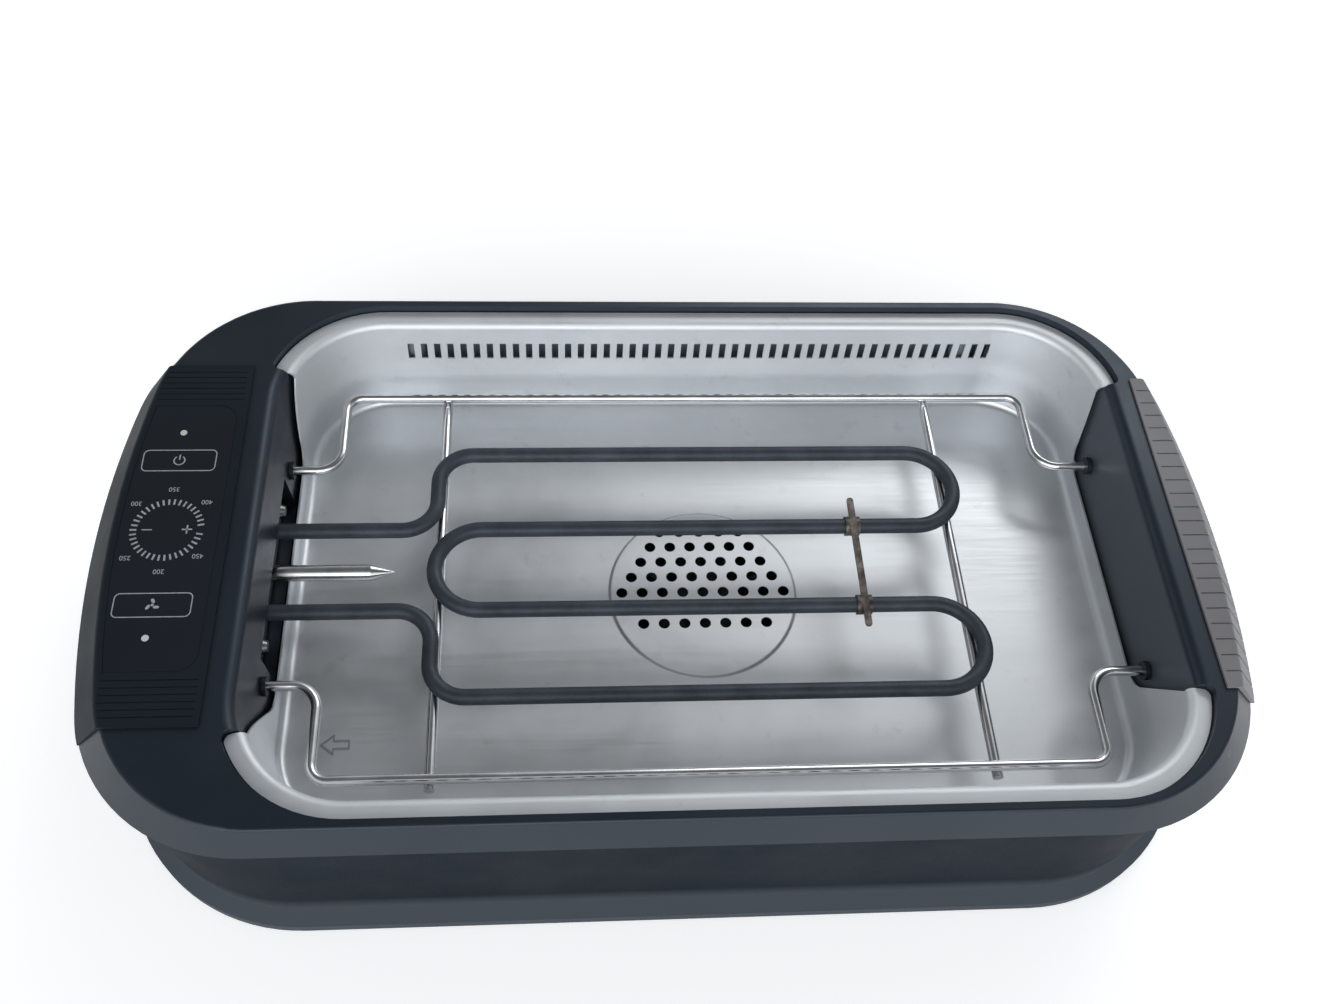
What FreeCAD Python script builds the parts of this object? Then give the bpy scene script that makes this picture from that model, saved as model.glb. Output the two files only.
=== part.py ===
"""Base of a smokeless table grill: shell, stainless tray, heating element, wire rack and fan.

Frame: +Z up, origin on the table under the middle of the base. -X is the control end,
+X the grip end, -Y the long side nearest the cook. All sizes are in millimetres.
"""
import FreeCAD, Part
import math
import os

import Sketcher
from FreeCAD import Rotation, Vector

doc = FreeCAD.newDocument("GrillBase")
sheet = doc.addObject("Spreadsheet::Sheet", "Sizes")
places = doc.addObject("Spreadsheet::Sheet", "Places")

# ---------------------------------------------------------------- driving sizes
SIZES = (
    # outer shell
    ("overall_length", 542.0, "end to end over the control panel and the grip"),
    ("cover_proud", 1.2, "how far panel and grip stand out of the rim"),
    ("rim_width", 295.6, "rim, front to back at its lower edge"),
    ("rim_corner_radius", 80.0, "rim corners in plan"),
    ("end_radius", 505.0, "bow of the two ends in plan"),
    ("rim_edge_z", 101.6, "lower edge of the rim"),
    ("rim_top_z", 118.2, "flat top of the rim"),
    ("bevel_end", 13.5, "run of the bevel at the ends"),
    ("bevel_side", 5.8, "run of the bevel along the sides"),
    ("crest_corner_radius", 72.0, "corners of the flat top"),
    ("crest_edge_round", 1.6, "rounding of the rim's top edge"),
    ("shell_wall", 2.5, "wall of the plastic shells"),
    ("waist_inset_end", 5.9, "body behind the rim at the ends"),
    ("waist_inset_side", 3.7, "body behind the rim along the sides"),
    ("waist_corner_radius", 86.0, "corners of the body"),
    ("skirt_flare", 6.4, "how far the foot stands out of the body"),
    ("skirt_bottom_z", 3.5, "lower edge of the skirt"),
    ("skirt_lip", 6.2, "upright lip of the skirt"),
    ("flare_height", 6.7, "rise of the flare from the lip to the body"),
    ("floor_z", 6.0, "underside of the base floor"),
    ("lap_inset", 0.8, "ledge under the rim, behind the rim's edge"),
    # stainless tray
    ("tray_left_margin", 81.0, "tray wall from the control end"),
    ("tray_right_margin", 42.5, "tray wall from the grip end"),
    ("tray_side_margin", 19.8, "tray wall from the rim's long sides"),
    ("tray_mouth_corner", 48.0, "corners of the tray mouth"),
    ("tray_draft", 4.5, "lean of the tray walls"),
    ("tray_floor_z", 55.0, "top face of the tray floor"),
    ("tray_sheet", 0.8, "sheet of the tray"),
    ("tray_foot_bend", 4.0, "bend between floor and wall"),
    ("flange_width", 9.5, "turned-out flange of the tray"),
    ("flange_drop", 4.2, "top of the flange under the top of the rim"),
    ("flange_roll", 4.0, "bend between wall and flange"),
    ("flange_tip_round", 3.5, "rounded tips of the flange"),
    ("lip_rise", 12.3, "low ends of the tray over its floor"),
    ("cut_foot_left_rear", 53.0, "low end at its lip, from the long wall"),
    ("cut_foot_left_front", 62.7, "the same"),
    ("cut_foot_right_rear", 55.7, "the same"),
    ("cut_foot_right_front", 65.2, "the same"),
    ("cut_head_left_rear", 31.0, "low end at the flange, from the long wall"),
    ("cut_head_left_front", 31.0, "the same"),
    ("cut_head_right_rear", 41.0, "the same"),
    ("cut_head_right_front", 43.0, "the same"),
    ("cut_tip_left_rear", 31.4, "tip of the flange, from the long wall"),
    ("cut_tip_left_front", 28.8, "the same"),
    ("cut_tip_right_rear", 41.8, "the same"),
    ("cut_tip_right_front", 41.2, "the same"),
    ("cut_round", 14.0, "rounding at the foot of the low ends"),
    ("rear_slot_count", 46.0, "vent slots in the rear wall"),
    ("rear_slot_pitch", 6.93, "slot to slot"),
    ("rear_slot_width", 3.4, "width of a slot"),
    ("rear_slot_offset", 5.15, "middle of the row from the middle of the tray"),
    ("front_slot_count", 34.0, "vent slots in the front wall"),
    ("front_slot_pitch", 9.6, "slot to slot"),
    ("front_slot_width", 5.6, "width of a slot"),
    ("front_slot_offset", 2.2, "middle of the row from the middle of the tray"),
    ("slot_height", 11.0, "height of the slots"),
    ("slot_drop", 24.0, "lower end of the slots under the flange"),
    ("disc_radius", 47.7, "raised disc over the fan"),
    ("disc_rise", 0.9, "rise of that disc"),
    ("hole_radius", 2.85, "holes in the disc"),
    ("hole_pitch", 10.39, "hole to hole in a row"),
    ("arrow_inset_x", 25.9, "small arrow on the tray floor, from its left end"),
    ("arrow_inset_y", 44.3, "the same, from the front"),
    ("arrow_length", 13.0, "length of the arrow"),
    ("arrow_line", 1.0, "width of its outline"),
    ("arrow_rise", 0.3, "rise of the arrow"),
    # mouth of the rim that takes the tray
    ("mouth_gap_end", 3.05, "tray wall to the rim at the ends"),
    ("mouth_gap_side", 1.3, "tray wall to the rim along the sides"),
    ("mouth_corner_gap", 2.0, "the same for the corner radius"),
    ("mouth_draft", 4.2, "lean of the end walls"),
    ("mouth_round", 5.0, "rounded top edge of the end walls"),
    ("end_wall_lift", 3.0, "lower edge of the end walls over the tray floor"),
    ("seat_gap", 0.6, "gap between flange and its seat in the rim"),
    ("pocket_half_width", 50.0, "terminal pocket in the left wall"),
    ("pocket_lift", 8.0, "lower edge of the pocket over the tray floor"),
    ("pocket_height", 25.0, "height of the pocket"),
    ("pocket_depth", 7.0, "depth of the pocket behind the tray wall"),
    # control panel and grip
    ("panel_length", 66.0, "control panel along X"),
    ("panel_half_width", 96.8, "half width of the control panel"),
    ("panel_step", 1.6, "top of the panel over the rim"),
    ("panel_end_radius", 460.0, "bow of its outer edge"),
    ("grip_length", 27.8, "grip along X"),
    ("grip_half_width", 88.0, "half width of the grip"),
    ("grip_step", 1.4, "top of the grip over the rim"),
    ("grip_end_radius", 555.0, "bow of its outer edge"),
    ("cover_edge_round", 1.5, "rounding of the covers' crest"),
    ("cover_gap", 0.1, "gap between the covers and the rim"),
    ("grip_groove_pitch", 8.0, "groove to groove on the grip"),
    ("grip_groove_width", 0.8, "width of those grooves"),
    ("grip_groove_depth", 0.5, "depth of those grooves"),
    ("grip_groove_end", 1.5, "plain edge beside the tray"),
    ("grip_groove_margin", 4.0, "plain ends of the grip"),
    ("panel_groove_pitch", 3.4, "groove to groove at the ends of the panel"),
    ("panel_groove_width", 0.5, "width of those grooves"),
    ("panel_groove_depth", 0.25, "depth of those grooves"),
    ("panel_groove_gap", 4.0, "first groove from the overlay"),
    ("panel_groove_margin", 3.0, "last groove from the end of the panel"),
    ("panel_groove_inset", 2.5, "grooves from the panel's inner edge"),
    ("panel_groove_crest", 9.0, "grooves from the panel's crest"),
    ("overlay_half_width", 71.5, "half width of the touch overlay"),
    ("overlay_inset", 4.6, "overlay to the inner edge of the panel"),
    ("overlay_margin", 3.4, "overlay to the crest of the panel"),
    ("overlay_corner", 9.0, "corner of the overlay"),
    ("overlay_sheet", 0.5, "sheet of the overlay"),
    ("overlay_drop", 0.15, "overlay under the top of the panel"),
    ("overlay_gap", 0.15, "gap round the overlay"),
    ("lamp_inset", 28.4, "indicator lamps from the inner edge of the panel"),
    ("lamp_y", 55.3, "indicator lamps, each side of the middle"),
    ("lamp_radius", 1.6, "indicator lamp"),
    ("window_inset", 7.0, "window under the panel, from its inner edge"),
    ("window_length", 39.0, "that window along X"),
    ("window_half_width", 66.0, "half width of the window"),
    ("stake_inset_x", 4.0, "stakes of the panel from the window's edge"),
    ("stake_inset_y", 5.0, "the same across"),
    ("stake_radius", 1.2, "stake of the panel"),
    ("stake_length", 4.5, "stakes below the top of the rim"),
    # heating element, rack and probe
    ("touch_gap", 0.05, "gap of pieces that rest on or in one another"),
    ("element_radius", 3.85, "tube of the element"),
    ("row_pitch", 45.5, "row to row, also the width of each U-turn"),
    ("element_jog_bend", 17.0, "S-bends between the leads and the outer rows"),
    ("turn_left_inset", 98.0, "left U-turn's centre from the tray wall"),
    ("turn_right_inset", 100.5, "right U-turns' centres from the tray wall"),
    ("rack_rise", 25.0, "long wires over the tray floor"),
    ("wire_radius", 2.45, "wire of the rack"),
    ("rack_inset", 21.2, "long wires from the tray's long walls"),
    ("rack_end_half", 60.3, "ends of the long wires from the middle"),
    ("rack_end_bend", 12.0, "outer bends of the long wires"),
    ("rack_jog_bend", 8.0, "inner bends of the long wires"),
    ("jog_left_inset", 25.0, "left jog from the tray wall"),
    ("jog_right_inset", 29.3, "right jog from the tray wall"),
    ("cross_left_offset", 20.7, "left cross wire from the U-turn's centre"),
    ("cross_right_offset", 18.4, "right cross wire from the U-turns' centres"),
    ("cross_overhang", 4.0, "cross wire past the long wires"),
    ("bush_radius", 4.6, "bushes that hold the wire ends"),
    ("bush_stem_radius", 3.6, "stem of a bush"),
    ("bush_left_face", 1.7, "left bushes past the tray wall"),
    ("bush_right_face", 2.5, "right bushes past the tray wall"),
    ("bush_left_collar", 1.7, "collar of a left bush"),
    ("bush_right_collar", 2.4, "collar of a right bush"),
    ("bush_stem", 7.0, "stem of a bush from its face"),
    ("wire_depth", 6.0, "wire ends inside the bushes"),
    ("probe_radius", 4.0, "thermostat probe"),
    ("probe_rise", 24.4, "axis of the probe over the tray floor"),
    ("probe_reach", 62.7, "tip of the probe from the pocket"),
    ("probe_point", 11.0, "length of its point"),
    ("probe_tip_radius", 0.4, "blunt tip of the probe"),
    ("probe_tail", 10.0, "probe behind the pocket"),
    ("probe_bush_wall", 1.1, "wall of the probe's bush"),
    ("clip_inset", 33.4, "clip from the right U-turns' centres"),
    ("clip_overhang", 14.25, "ends of the clip past the inner rows"),
    ("clip_sheet", 1.0, "sheet of the clip"),
    ("clip_width", 3.4, "width of the clip"),
    ("saddle_width", 7.4, "width of the clip's saddles"),
    ("plate_sheet", 1.6, "flange plate of the element"),
    ("plate_margin", 3.0, "plate to the sides of the pocket"),
    ("flange_screw_inset", 12.0, "flange screws from the sides of the pocket"),
    ("flange_screw_rise", 13.5, "flange screws over the pocket's lower edge"),
    ("flange_screw_head", 4.4, "head of the flange screws"),
    ("flange_screw_dome", 4.2, "height of those heads"),
    ("lead_tail", 12.0, "element leads behind the pocket"),
    ("lead_bush_wall", 1.4, "wall of the ceramic bushes"),
    ("lead_bush_length", 6.5, "length of the ceramic bushes"),
    ("terminal_radius", 1.4, "terminal pins of the element"),
    ("terminal_length", 8.0, "length of the pins past the leads"),
    # fan under the tray
    ("fan_opening_radius", 62.5, "opening in the base floor"),
    ("cover_lap", 7.5, "plate of the fan cover past the opening"),
    ("hub_wall", 2.4, "hub ring of the fan cover"),
    ("running_gap", 0.4, "gap round moving pieces"),
    ("tab_reach", 4.5, "reach of the bayonet tabs"),
    ("tab_sheet", 1.8, "thickness of the tabs"),
    ("tab_angle", 16.0, "angle that a tab spans"),
    ("notch_slack", 3.0, "angle by which a notch is wider than its tab"),
    ("twist_angle", 20.0, "twist that frees the fan cover"),
    ("cover_slot_width", 3.0, "air slots of the fan cover"),
    ("cover_slot_start", 26.0, "inner ends of those slots"),
    ("cover_slot_end", 52.0, "outer ends of those slots"),
    ("cover_slot_count", 18.0, "number of those slots"),
    ("motor_radius", 18.0, "motor can"),
    ("motor_height", 18.0, "height of the motor can"),
    ("motor_neck_radius", 5.0, "boss round the shaft"),
    ("bracket_post_height", 5.5, "posts of the motor bracket"),
    ("bracket_sheet", 2.0, "sheet of the motor bracket"),
    ("bracket_rim", 6.0, "bracket disc past the motor"),
    ("bracket_arm_width", 10.0, "arms of the bracket"),
    ("bracket_arm_end", 5.0, "arms past the bracket posts"),
    ("bracket_post_gap", 13.5, "bracket posts from the fan opening"),
    ("shaft_radius", 1.5, "motor shaft"),
    ("shaft_gap", 0.05, "running gap of the shaft"),
    ("shaft_end", 4.0, "lower end of the shaft over the bracket"),
    ("impeller_radius", 46.0, "impeller"),
    ("impeller_plate", 1.6, "back plate of the impeller"),
    ("impeller_hub_radius", 6.0, "hub of the impeller"),
    ("impeller_hub_height", 8.0, "height of the hub"),
    ("impeller_clearance", 3.2, "blades to the underside of the tray"),
    ("blade_start", 20.0, "inner ends of the blades"),
    ("blade_sweep", 11.4, "how far the blades lean back"),
    ("blade_sheet", 1.6, "thickness of the blades"),
    ("blade_height", 13.0, "height of the blades"),
    ("blade_count", 11.0, "number of blades"),
    ("guard_clearance", 10.0, "impeller to the fan guard"),
    ("guard_wall", 2.0, "wall of the fan guard"),
    ("guard_window_width", 18.0, "air windows of the guard"),
    ("guard_ring", 6.0, "closed ring under and over those windows"),
    ("guard_window_count", 12.0, "number of those windows"),
    ("seal_height", 2.6, "seal between the guard and the tray"),
    ("shield_drop", 15.0, "heat shield under the tray floor"),
    ("shield_sheet", 0.8, "sheet of the heat shield"),
    ("shield_margin_x", 18.0, "heat shield inside the tray floor, lengthways"),
    ("shield_margin_y", 6.0, "the same across"),
    ("shield_corner", 30.0, "corners of the heat shield"),
    ("shield_gap", 1.5, "heat shield to the fan guard"),
    ("shield_post_inset_x", 64.75, "shield posts from the ends of the tray floor"),
    ("shield_post_inset_y", 31.5, "the same across"),
    # electronics and fasteners
    ("board_sheet", 1.6, "circuit boards"),
    ("relay_width", 16.0, "relay along X"),
    ("relay_length", 29.0, "relay along Y"),
    ("relay_height", 16.0, "relay over the board"),
    ("relay_from_middle_x", -8.0, "its left side, from the middle of the board"),
    ("relay_from_middle_y", 18.0, "its front side, from the middle of the board"),
    ("transformer_width", 22.0, "transformer along X"),
    ("transformer_length", 26.0, "transformer along Y"),
    ("transformer_height", 19.0, "transformer over the board"),
    ("transformer_from_middle_x", -11.0, "its left side, from the middle of the board"),
    ("transformer_from_middle_y", -22.0, "its front side, from the middle of the board"),
    ("block_width", 12.0, "terminal block along X"),
    ("block_length", 24.0, "terminal block along Y"),
    ("block_height", 13.0, "terminal block over the board"),
    ("block_from_middle_x", 5.0, "its left side, from the middle of the board"),
    ("block_from_middle_y", -49.0, "its front side, from the middle of the board"),
    ("capacitor_radius", 5.0, "capacitor can"),
    ("capacitor_height", 14.0, "capacitor over the board"),
    ("capacitor_from_middle_x", -2.0, "its axis, from the middle of the board"),
    ("capacitor_from_middle_y", 12.0, "its axis, from the middle of the board"),
    ("board_post_height", 9.5, "posts of the power board"),
    ("board_inset", 49.0, "middle of the power board from the control end"),
    ("board_length", 120.0, "power board along Y"),
    ("board_width", 38.0, "power board along X"),
    ("board_hole_inset", 4.0, "holes from the edges of the board"),
    ("touch_board_gap", 0.5, "touch board to its window"),
    ("screw_radius", 1.75, "shank of the screws"),
    ("screw_head_radius", 3.4, "head of the screws"),
    ("screw_head", 2.4, "height of those heads"),
    ("head_gap", 0.02, "screw head to its seat"),
    ("hole_gap", 0.15, "screw shank to a plain hole"),
    ("pilot_depth", 9.0, "pilot holes of the posts"),
    ("case_pilot_depth", 9.5, "pilot holes of the rim's bosses"),
    ("case_seat", 4.5, "heads of the case screws under the rim's edge"),
    ("case_screw_length", 11.0, "case screws"),
    ("bracket_screw_length", 7.0, "screws of the motor bracket"),
    ("small_screw_length", 8.0, "screws of the shield and the power board"),
    ("flange_screw_length", 8.0, "screws of the element's flange"),
    ("post_radius", 4.0, "posts of the bracket and the shield"),
    ("board_post_radius", 3.5, "posts of the power board"),
    ("boss_radius", 5.5, "tall screw bosses of the base"),
    ("head_slack", 0.3, "screw head to the bore of its boss"),
    ("rim_boss_radius", 4.5, "screw bosses of the rim"),
    ("boss_ceiling", 1.0, "side bosses of the rim under the flange's seat"),
    ("boss_inset_x", 11.25, "side bosses from the corners of the tray"),
    ("boss_inset_y", 7.6, "side bosses from the face of the body"),
    ("end_boss_inset", 27.0, "end bosses from the ends"),
    ("end_boss_y", 80.0, "end bosses from the middle"),
    ("foot_radius", 9.0, "rubber feet"),
    ("foot_chamfer", 1.0, "lower edge of a foot"),
    ("foot_inset_x", 66.0, "feet from the ends"),
    ("foot_inset_y", 35.8, "feet from the sides of the rim"),
    ("foot_stem_radius", 3.0, "stem of a foot"),
    ("foot_stem_gap", 0.1, "gap round the stem"),
    ("gland_inset", 111.0, "mains cord gland from the control end"),
    ("gland_z", 60.0, "height of the gland"),
    ("gland_radius", 7.0, "body of the gland"),
    ("gland_collar", 2.0, "collar of the gland, past its body and in thickness"),
    ("gland_depth", 6.0, "gland inside the wall"),
    ("gland_gap", 0.1, "gap round the gland"),
    ("gland_bore", 3.6, "bore of the gland"),
)

# places and sizes that follow from the driving sizes
PLACES = (
    ("tray_left", "Sizes.tray_left_margin - Sizes.overall_length / 2"),
    ("tray_right", "Sizes.overall_length / 2 - Sizes.tray_right_margin"),
    ("tray_x", "(tray_left + tray_right) / 2"),
    ("tray_mouth_length", "tray_right - tray_left"),
    ("tray_mouth_width", "Sizes.rim_width - 2 * Sizes.tray_side_margin"),
    ("tray_floor_length", "tray_mouth_length - 2 * Sizes.tray_draft"),
    ("tray_floor_width", "tray_mouth_width - 2 * Sizes.tray_draft"),
    ("tray_floor_corner", "Sizes.tray_mouth_corner - Sizes.tray_draft"),
    ("tray_flange_z", "Sizes.rim_top_z - Sizes.flange_drop"),
    ("tray_lip_z", "Sizes.tray_floor_z + Sizes.lip_rise"),
    ("slot_bottom_z", "tray_flange_z - Sizes.slot_drop"),
    ("arrow_x", "tray_x - tray_floor_length / 2 + Sizes.arrow_inset_x"),
    ("arrow_y", "Sizes.arrow_inset_y - tray_floor_width / 2"),
    ("mouth_length", "tray_mouth_length + 2 * Sizes.mouth_gap_end"),
    ("mouth_width", "tray_mouth_width + 2 * Sizes.mouth_gap_side"),
    ("mouth_corner", "Sizes.tray_mouth_corner + Sizes.mouth_corner_gap"),
    ("end_wall_foot_z", "Sizes.tray_floor_z + Sizes.end_wall_lift"),
    ("crest_length", "Sizes.overall_length - 2 * (Sizes.cover_proud + Sizes.bevel_end)"),
    ("crest_width", "Sizes.rim_width - 2 * Sizes.bevel_side"),
    ("waist_length", "Sizes.overall_length - 2 * (Sizes.cover_proud + Sizes.waist_inset_end)"),
    ("waist_width", "Sizes.rim_width - 2 * Sizes.waist_inset_side"),
    ("pocket_back_x", "tray_left - Sizes.pocket_depth"),
    ("pocket_bottom_z", "Sizes.tray_floor_z + Sizes.pocket_lift"),
    ("pocket_top_z", "pocket_bottom_z + Sizes.pocket_height"),
    ("panel_inner_x", "Sizes.panel_length - Sizes.overall_length / 2"),
    ("panel_top_z", "Sizes.rim_top_z + Sizes.panel_step"),
    ("grip_inner_x", "Sizes.overall_length / 2 - Sizes.grip_length"),
    ("grip_top_z", "Sizes.rim_top_z + Sizes.grip_step"),
    ("overlay_top_z", "panel_top_z - Sizes.overlay_drop"),
    ("overlay_inner_x", "panel_inner_x - Sizes.overlay_inset"),
    ("lamp_x", "panel_inner_x - Sizes.lamp_inset"),
    ("window_right", "panel_inner_x - Sizes.window_inset"),
    ("window_left", "window_right - Sizes.window_length"),
    ("rack_z", "Sizes.tray_floor_z + Sizes.rack_rise"),
    ("element_z", "rack_z - Sizes.wire_radius + Sizes.element_radius + Sizes.touch_gap"),
    ("turn_left_x", "tray_left + Sizes.turn_left_inset"),
    ("turn_right_x", "tray_right - Sizes.turn_right_inset"),
    ("rack_half_width", "tray_mouth_width / 2 - Sizes.rack_inset"),
    ("jog_left_x", "tray_left + Sizes.jog_left_inset"),
    ("jog_right_x", "tray_right - Sizes.jog_right_inset"),
    ("cross_left_x", "turn_left_x - Sizes.cross_left_offset"),
    ("cross_right_x", "turn_right_x + Sizes.cross_right_offset"),
    ("bush_left_x", "tray_left + Sizes.bush_left_face"),
    ("bush_right_x", "tray_right - Sizes.bush_right_face"),
    ("probe_z", "Sizes.tray_floor_z + Sizes.probe_rise"),
    ("probe_tip_x", "pocket_back_x + Sizes.probe_reach"),
    ("lead_x", "pocket_back_x - Sizes.shell_wall - Sizes.lead_tail"),
    ("clip_x", "turn_right_x - Sizes.clip_inset"),
    ("clip_half_length", "Sizes.row_pitch / 2 + Sizes.clip_overhang"),
    ("flange_screw_y", "Sizes.pocket_half_width - Sizes.flange_screw_inset"),
    ("flange_screw_z", "pocket_bottom_z + Sizes.flange_screw_rise"),
    ("floor_top", "Sizes.floor_z + Sizes.shell_wall"),
    ("bracket_z", "floor_top + Sizes.bracket_post_height"),
    ("bracket_post_circle", "Sizes.fan_opening_radius + Sizes.bracket_post_gap"),
    ("motor_z", "bracket_z + Sizes.bracket_sheet"),
    ("guard_radius", "Sizes.impeller_radius + Sizes.guard_clearance"),
    ("tray_under_z", "Sizes.tray_floor_z - Sizes.tray_sheet"),
    ("guard_top_z", "tray_under_z - Sizes.seal_height"),
    ("impeller_top_z", "tray_under_z - Sizes.impeller_clearance"),
    ("impeller_z", "impeller_top_z - Sizes.blade_height - Sizes.impeller_plate"),
    ("shield_z", "Sizes.tray_floor_z - Sizes.shield_drop"),
    ("shield_post_x", "tray_floor_length / 2 - Sizes.shield_post_inset_x"),
    ("shield_post_y", "tray_floor_width / 2 - Sizes.shield_post_inset_y"),
    ("board_x", "Sizes.board_inset - Sizes.overall_length / 2"),
    ("board_z", "floor_top + Sizes.board_post_height"),
    ("case_head_z", "Sizes.rim_edge_z - Sizes.case_seat"),
    ("boss_x", "tray_mouth_length / 2 - Sizes.tray_mouth_corner - Sizes.boss_inset_x"),
    ("boss_y", "waist_width / 2 - Sizes.boss_inset_y"),
    ("end_boss_x", "Sizes.overall_length / 2 - Sizes.end_boss_inset"),
    ("foot_x", "Sizes.overall_length / 2 - Sizes.foot_inset_x"),
    ("foot_y", "Sizes.rim_width / 2 - Sizes.foot_inset_y"),
    ("gland_x", "Sizes.gland_inset - Sizes.overall_length / 2"),
)


def fill_sheets():
    """One row for each size: name, value and meaning. The value's cell carries the alias."""
    for row, (alias, number, meaning) in enumerate(SIZES, start=1):
        sheet.set("A%d" % row, alias)
        sheet.set("B%d" % row, str(number))
        sheet.set("C%d" % row, meaning)
        sheet.setAlias("B%d" % row, alias)
    doc.recompute()
    for row, (alias, formula) in enumerate(PLACES, start=1):
        places.set("A%d" % row, alias)
        places.set("B%d" % row, "=" + formula)
        places.setAlias("B%d" % row, alias)
        doc.recompute()


fill_sheets()
place_names = {alias for alias, _ in PLACES}
nodes = {}


def v(alias):
    """Value of a driving size, or of a place that follows from them."""
    source = places if alias in place_names else sheet
    return float(source.get(alias))



def number(formula):
    """Present value of a formula over the sheet."""
    result = sheet.evalExpression(formula)
    return float(getattr(result, "Value", result))


def keep(obj, label):
    """Register a finished sub-part under the name of its node."""
    obj.Label = label
    nodes[label] = obj
    return obj


# ---------------------------------------------------------------- bound primitives
def bind(obj, **formulas):
    for prop, formula in formulas.items():
        obj.setExpression(prop, formula)
    return obj


def locate(obj, x, y, z, turn=None):
    """Place an object by three formulas, with an optional fixed turn."""
    if turn is not None:
        obj.Placement = FreeCAD.Placement(Vector(0, 0, 0), turn)
    obj.setExpression("Placement.Base.x", x)
    obj.setExpression("Placement.Base.y", y)
    obj.setExpression("Placement.Base.z", z)
    return obj


ALONG_X = Rotation(Vector(0, 1, 0), 90)
ALONG_Y = Rotation(Vector(1, 0, 0), -90)


def cylinder(name, radius, height, x="0", y="0", z="0", turn=None):
    obj = doc.addObject("Part::Cylinder", name)
    bind(obj, Radius=radius, Height=height)
    return locate(obj, x, y, z, turn)


def cone(name, radius1, radius2, height, x="0", y="0", z="0", turn=None):
    obj = doc.addObject("Part::Cone", name)
    bind(obj, Radius1=radius1, Radius2=radius2, Height=height)
    return locate(obj, x, y, z, turn)


def box(name, length, width, height, x="0", y="0", z="0"):
    obj = doc.addObject("Part::Box", name)
    bind(obj, Length=length, Width=width, Height=height)
    return locate(obj, x, y, z)


def fuse(name, shapes):
    obj = doc.addObject("Part::MultiFuse", name)
    obj.Shapes = shapes
    return obj


def group(name, shapes):
    """Separate solids that share one node."""
    obj = doc.addObject("Part::Compound", name)
    obj.Links = shapes
    return obj


def cut(name, base, tools):
    obj = doc.addObject("Part::Cut", name)
    obj.Base = base
    obj.Tool = tools[0] if len(tools) == 1 else fuse(name + "_tools", tools)
    return obj


# ---------------------------------------------------------------- bodies with sketches
def new_body(name):
    return doc.addObject("PartDesign::Body", name)


def plane(body, role):
    for feature in body.Origin.OriginFeatures:
        if feature.Role == role:
            return feature
    raise ValueError(role)


def new_sketch(body, name, role="XY_Plane", offset="0"):
    """A sketch on one of the body's own origin planes, raised along its normal."""
    sketch = body.newObject("Sketcher::SketchObject", name)
    sketch.AttachmentSupport = (plane(body, role), [""])
    sketch.MapMode = "FlatFace"
    sketch.setExpression("AttachmentOffset.Base.z", offset)
    return sketch


def fix_point(sketch, geometry, point, x, y):
    """Tie a point of the sketch to two formulas."""
    for kind, formula, axis in (("DistanceX", x, -2), ("DistanceY", y, -1)):
        if formula == "0":
            sketch.addConstraint(Sketcher.Constraint("PointOnObject", geometry, point, axis))
        else:
            index = sketch.addConstraint(
                Sketcher.Constraint(kind, -1, 1, geometry, point, number(formula)))
            sketch.setExpression("Constraints[%d]" % index, formula)


def draw_circle(sketch, radius, x="0", y="0"):
    centre = Vector(number(x), number(y), 0)
    index = sketch.addGeometry(Part.Circle(centre, Vector(0, 0, 1), number(radius)))
    rule = sketch.addConstraint(Sketcher.Constraint("Radius", index, number(radius)))
    sketch.setExpression("Constraints[%d]" % rule, radius)
    fix_point(sketch, index, 3, x, y)


def draw_polygon(sketch, corners):
    """Closed polygon whose corners are pairs of formulas."""
    points = [Vector(number(x), number(y), 0) for x, y in corners]
    first = sketch.GeometryCount
    for here, there in zip(points, points[1:] + points[:1]):
        sketch.addGeometry(Part.LineSegment(here, there))
    count = len(points)
    for step in range(count):
        following = first + (step + 1) % count
        sketch.addConstraint(Sketcher.Constraint("Coincident", first + step, 2, following, 1))
    for step, (x, y) in enumerate(corners):
        fix_point(sketch, first + step, 1, x, y)


def draw_rectangle(sketch, x1, y1, x2, y2):
    draw_polygon(sketch, [(x1, y1), (x2, y1), (x2, y2), (x1, y2)])


def pad(body, sketch, length, name):
    feature = body.newObject("PartDesign::Pad", name)
    feature.Profile = sketch
    feature.setExpression("Length", length)
    return feature


def pocket(body, sketch, length, name):
    """Cut upwards from the sketch's plane."""
    feature = body.newObject("PartDesign::Pocket", name)
    feature.Profile = sketch
    feature.setExpression("Length", length)
    feature.Reversed = True
    return feature


def revolve(body, sketch, name):
    """Full turn about the sketch's vertical axis."""
    feature = body.newObject("PartDesign::Revolution", name)
    feature.Profile = sketch
    feature.ReferenceAxis = (sketch, ["V_Axis"])
    feature.Angle = 360
    return feature


def polar(body, feature, count, name):
    """Repeat a feature about the body's own Z axis."""
    pattern = body.newObject("PartDesign::PolarPattern", name)
    pattern.Originals = [feature]
    pattern.Axis = (plane(body, "Z_Axis"), [""])
    pattern.Angle = 360
    pattern.setExpression("Occurrences", count)
    body.Tip = pattern
    return pattern


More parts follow.
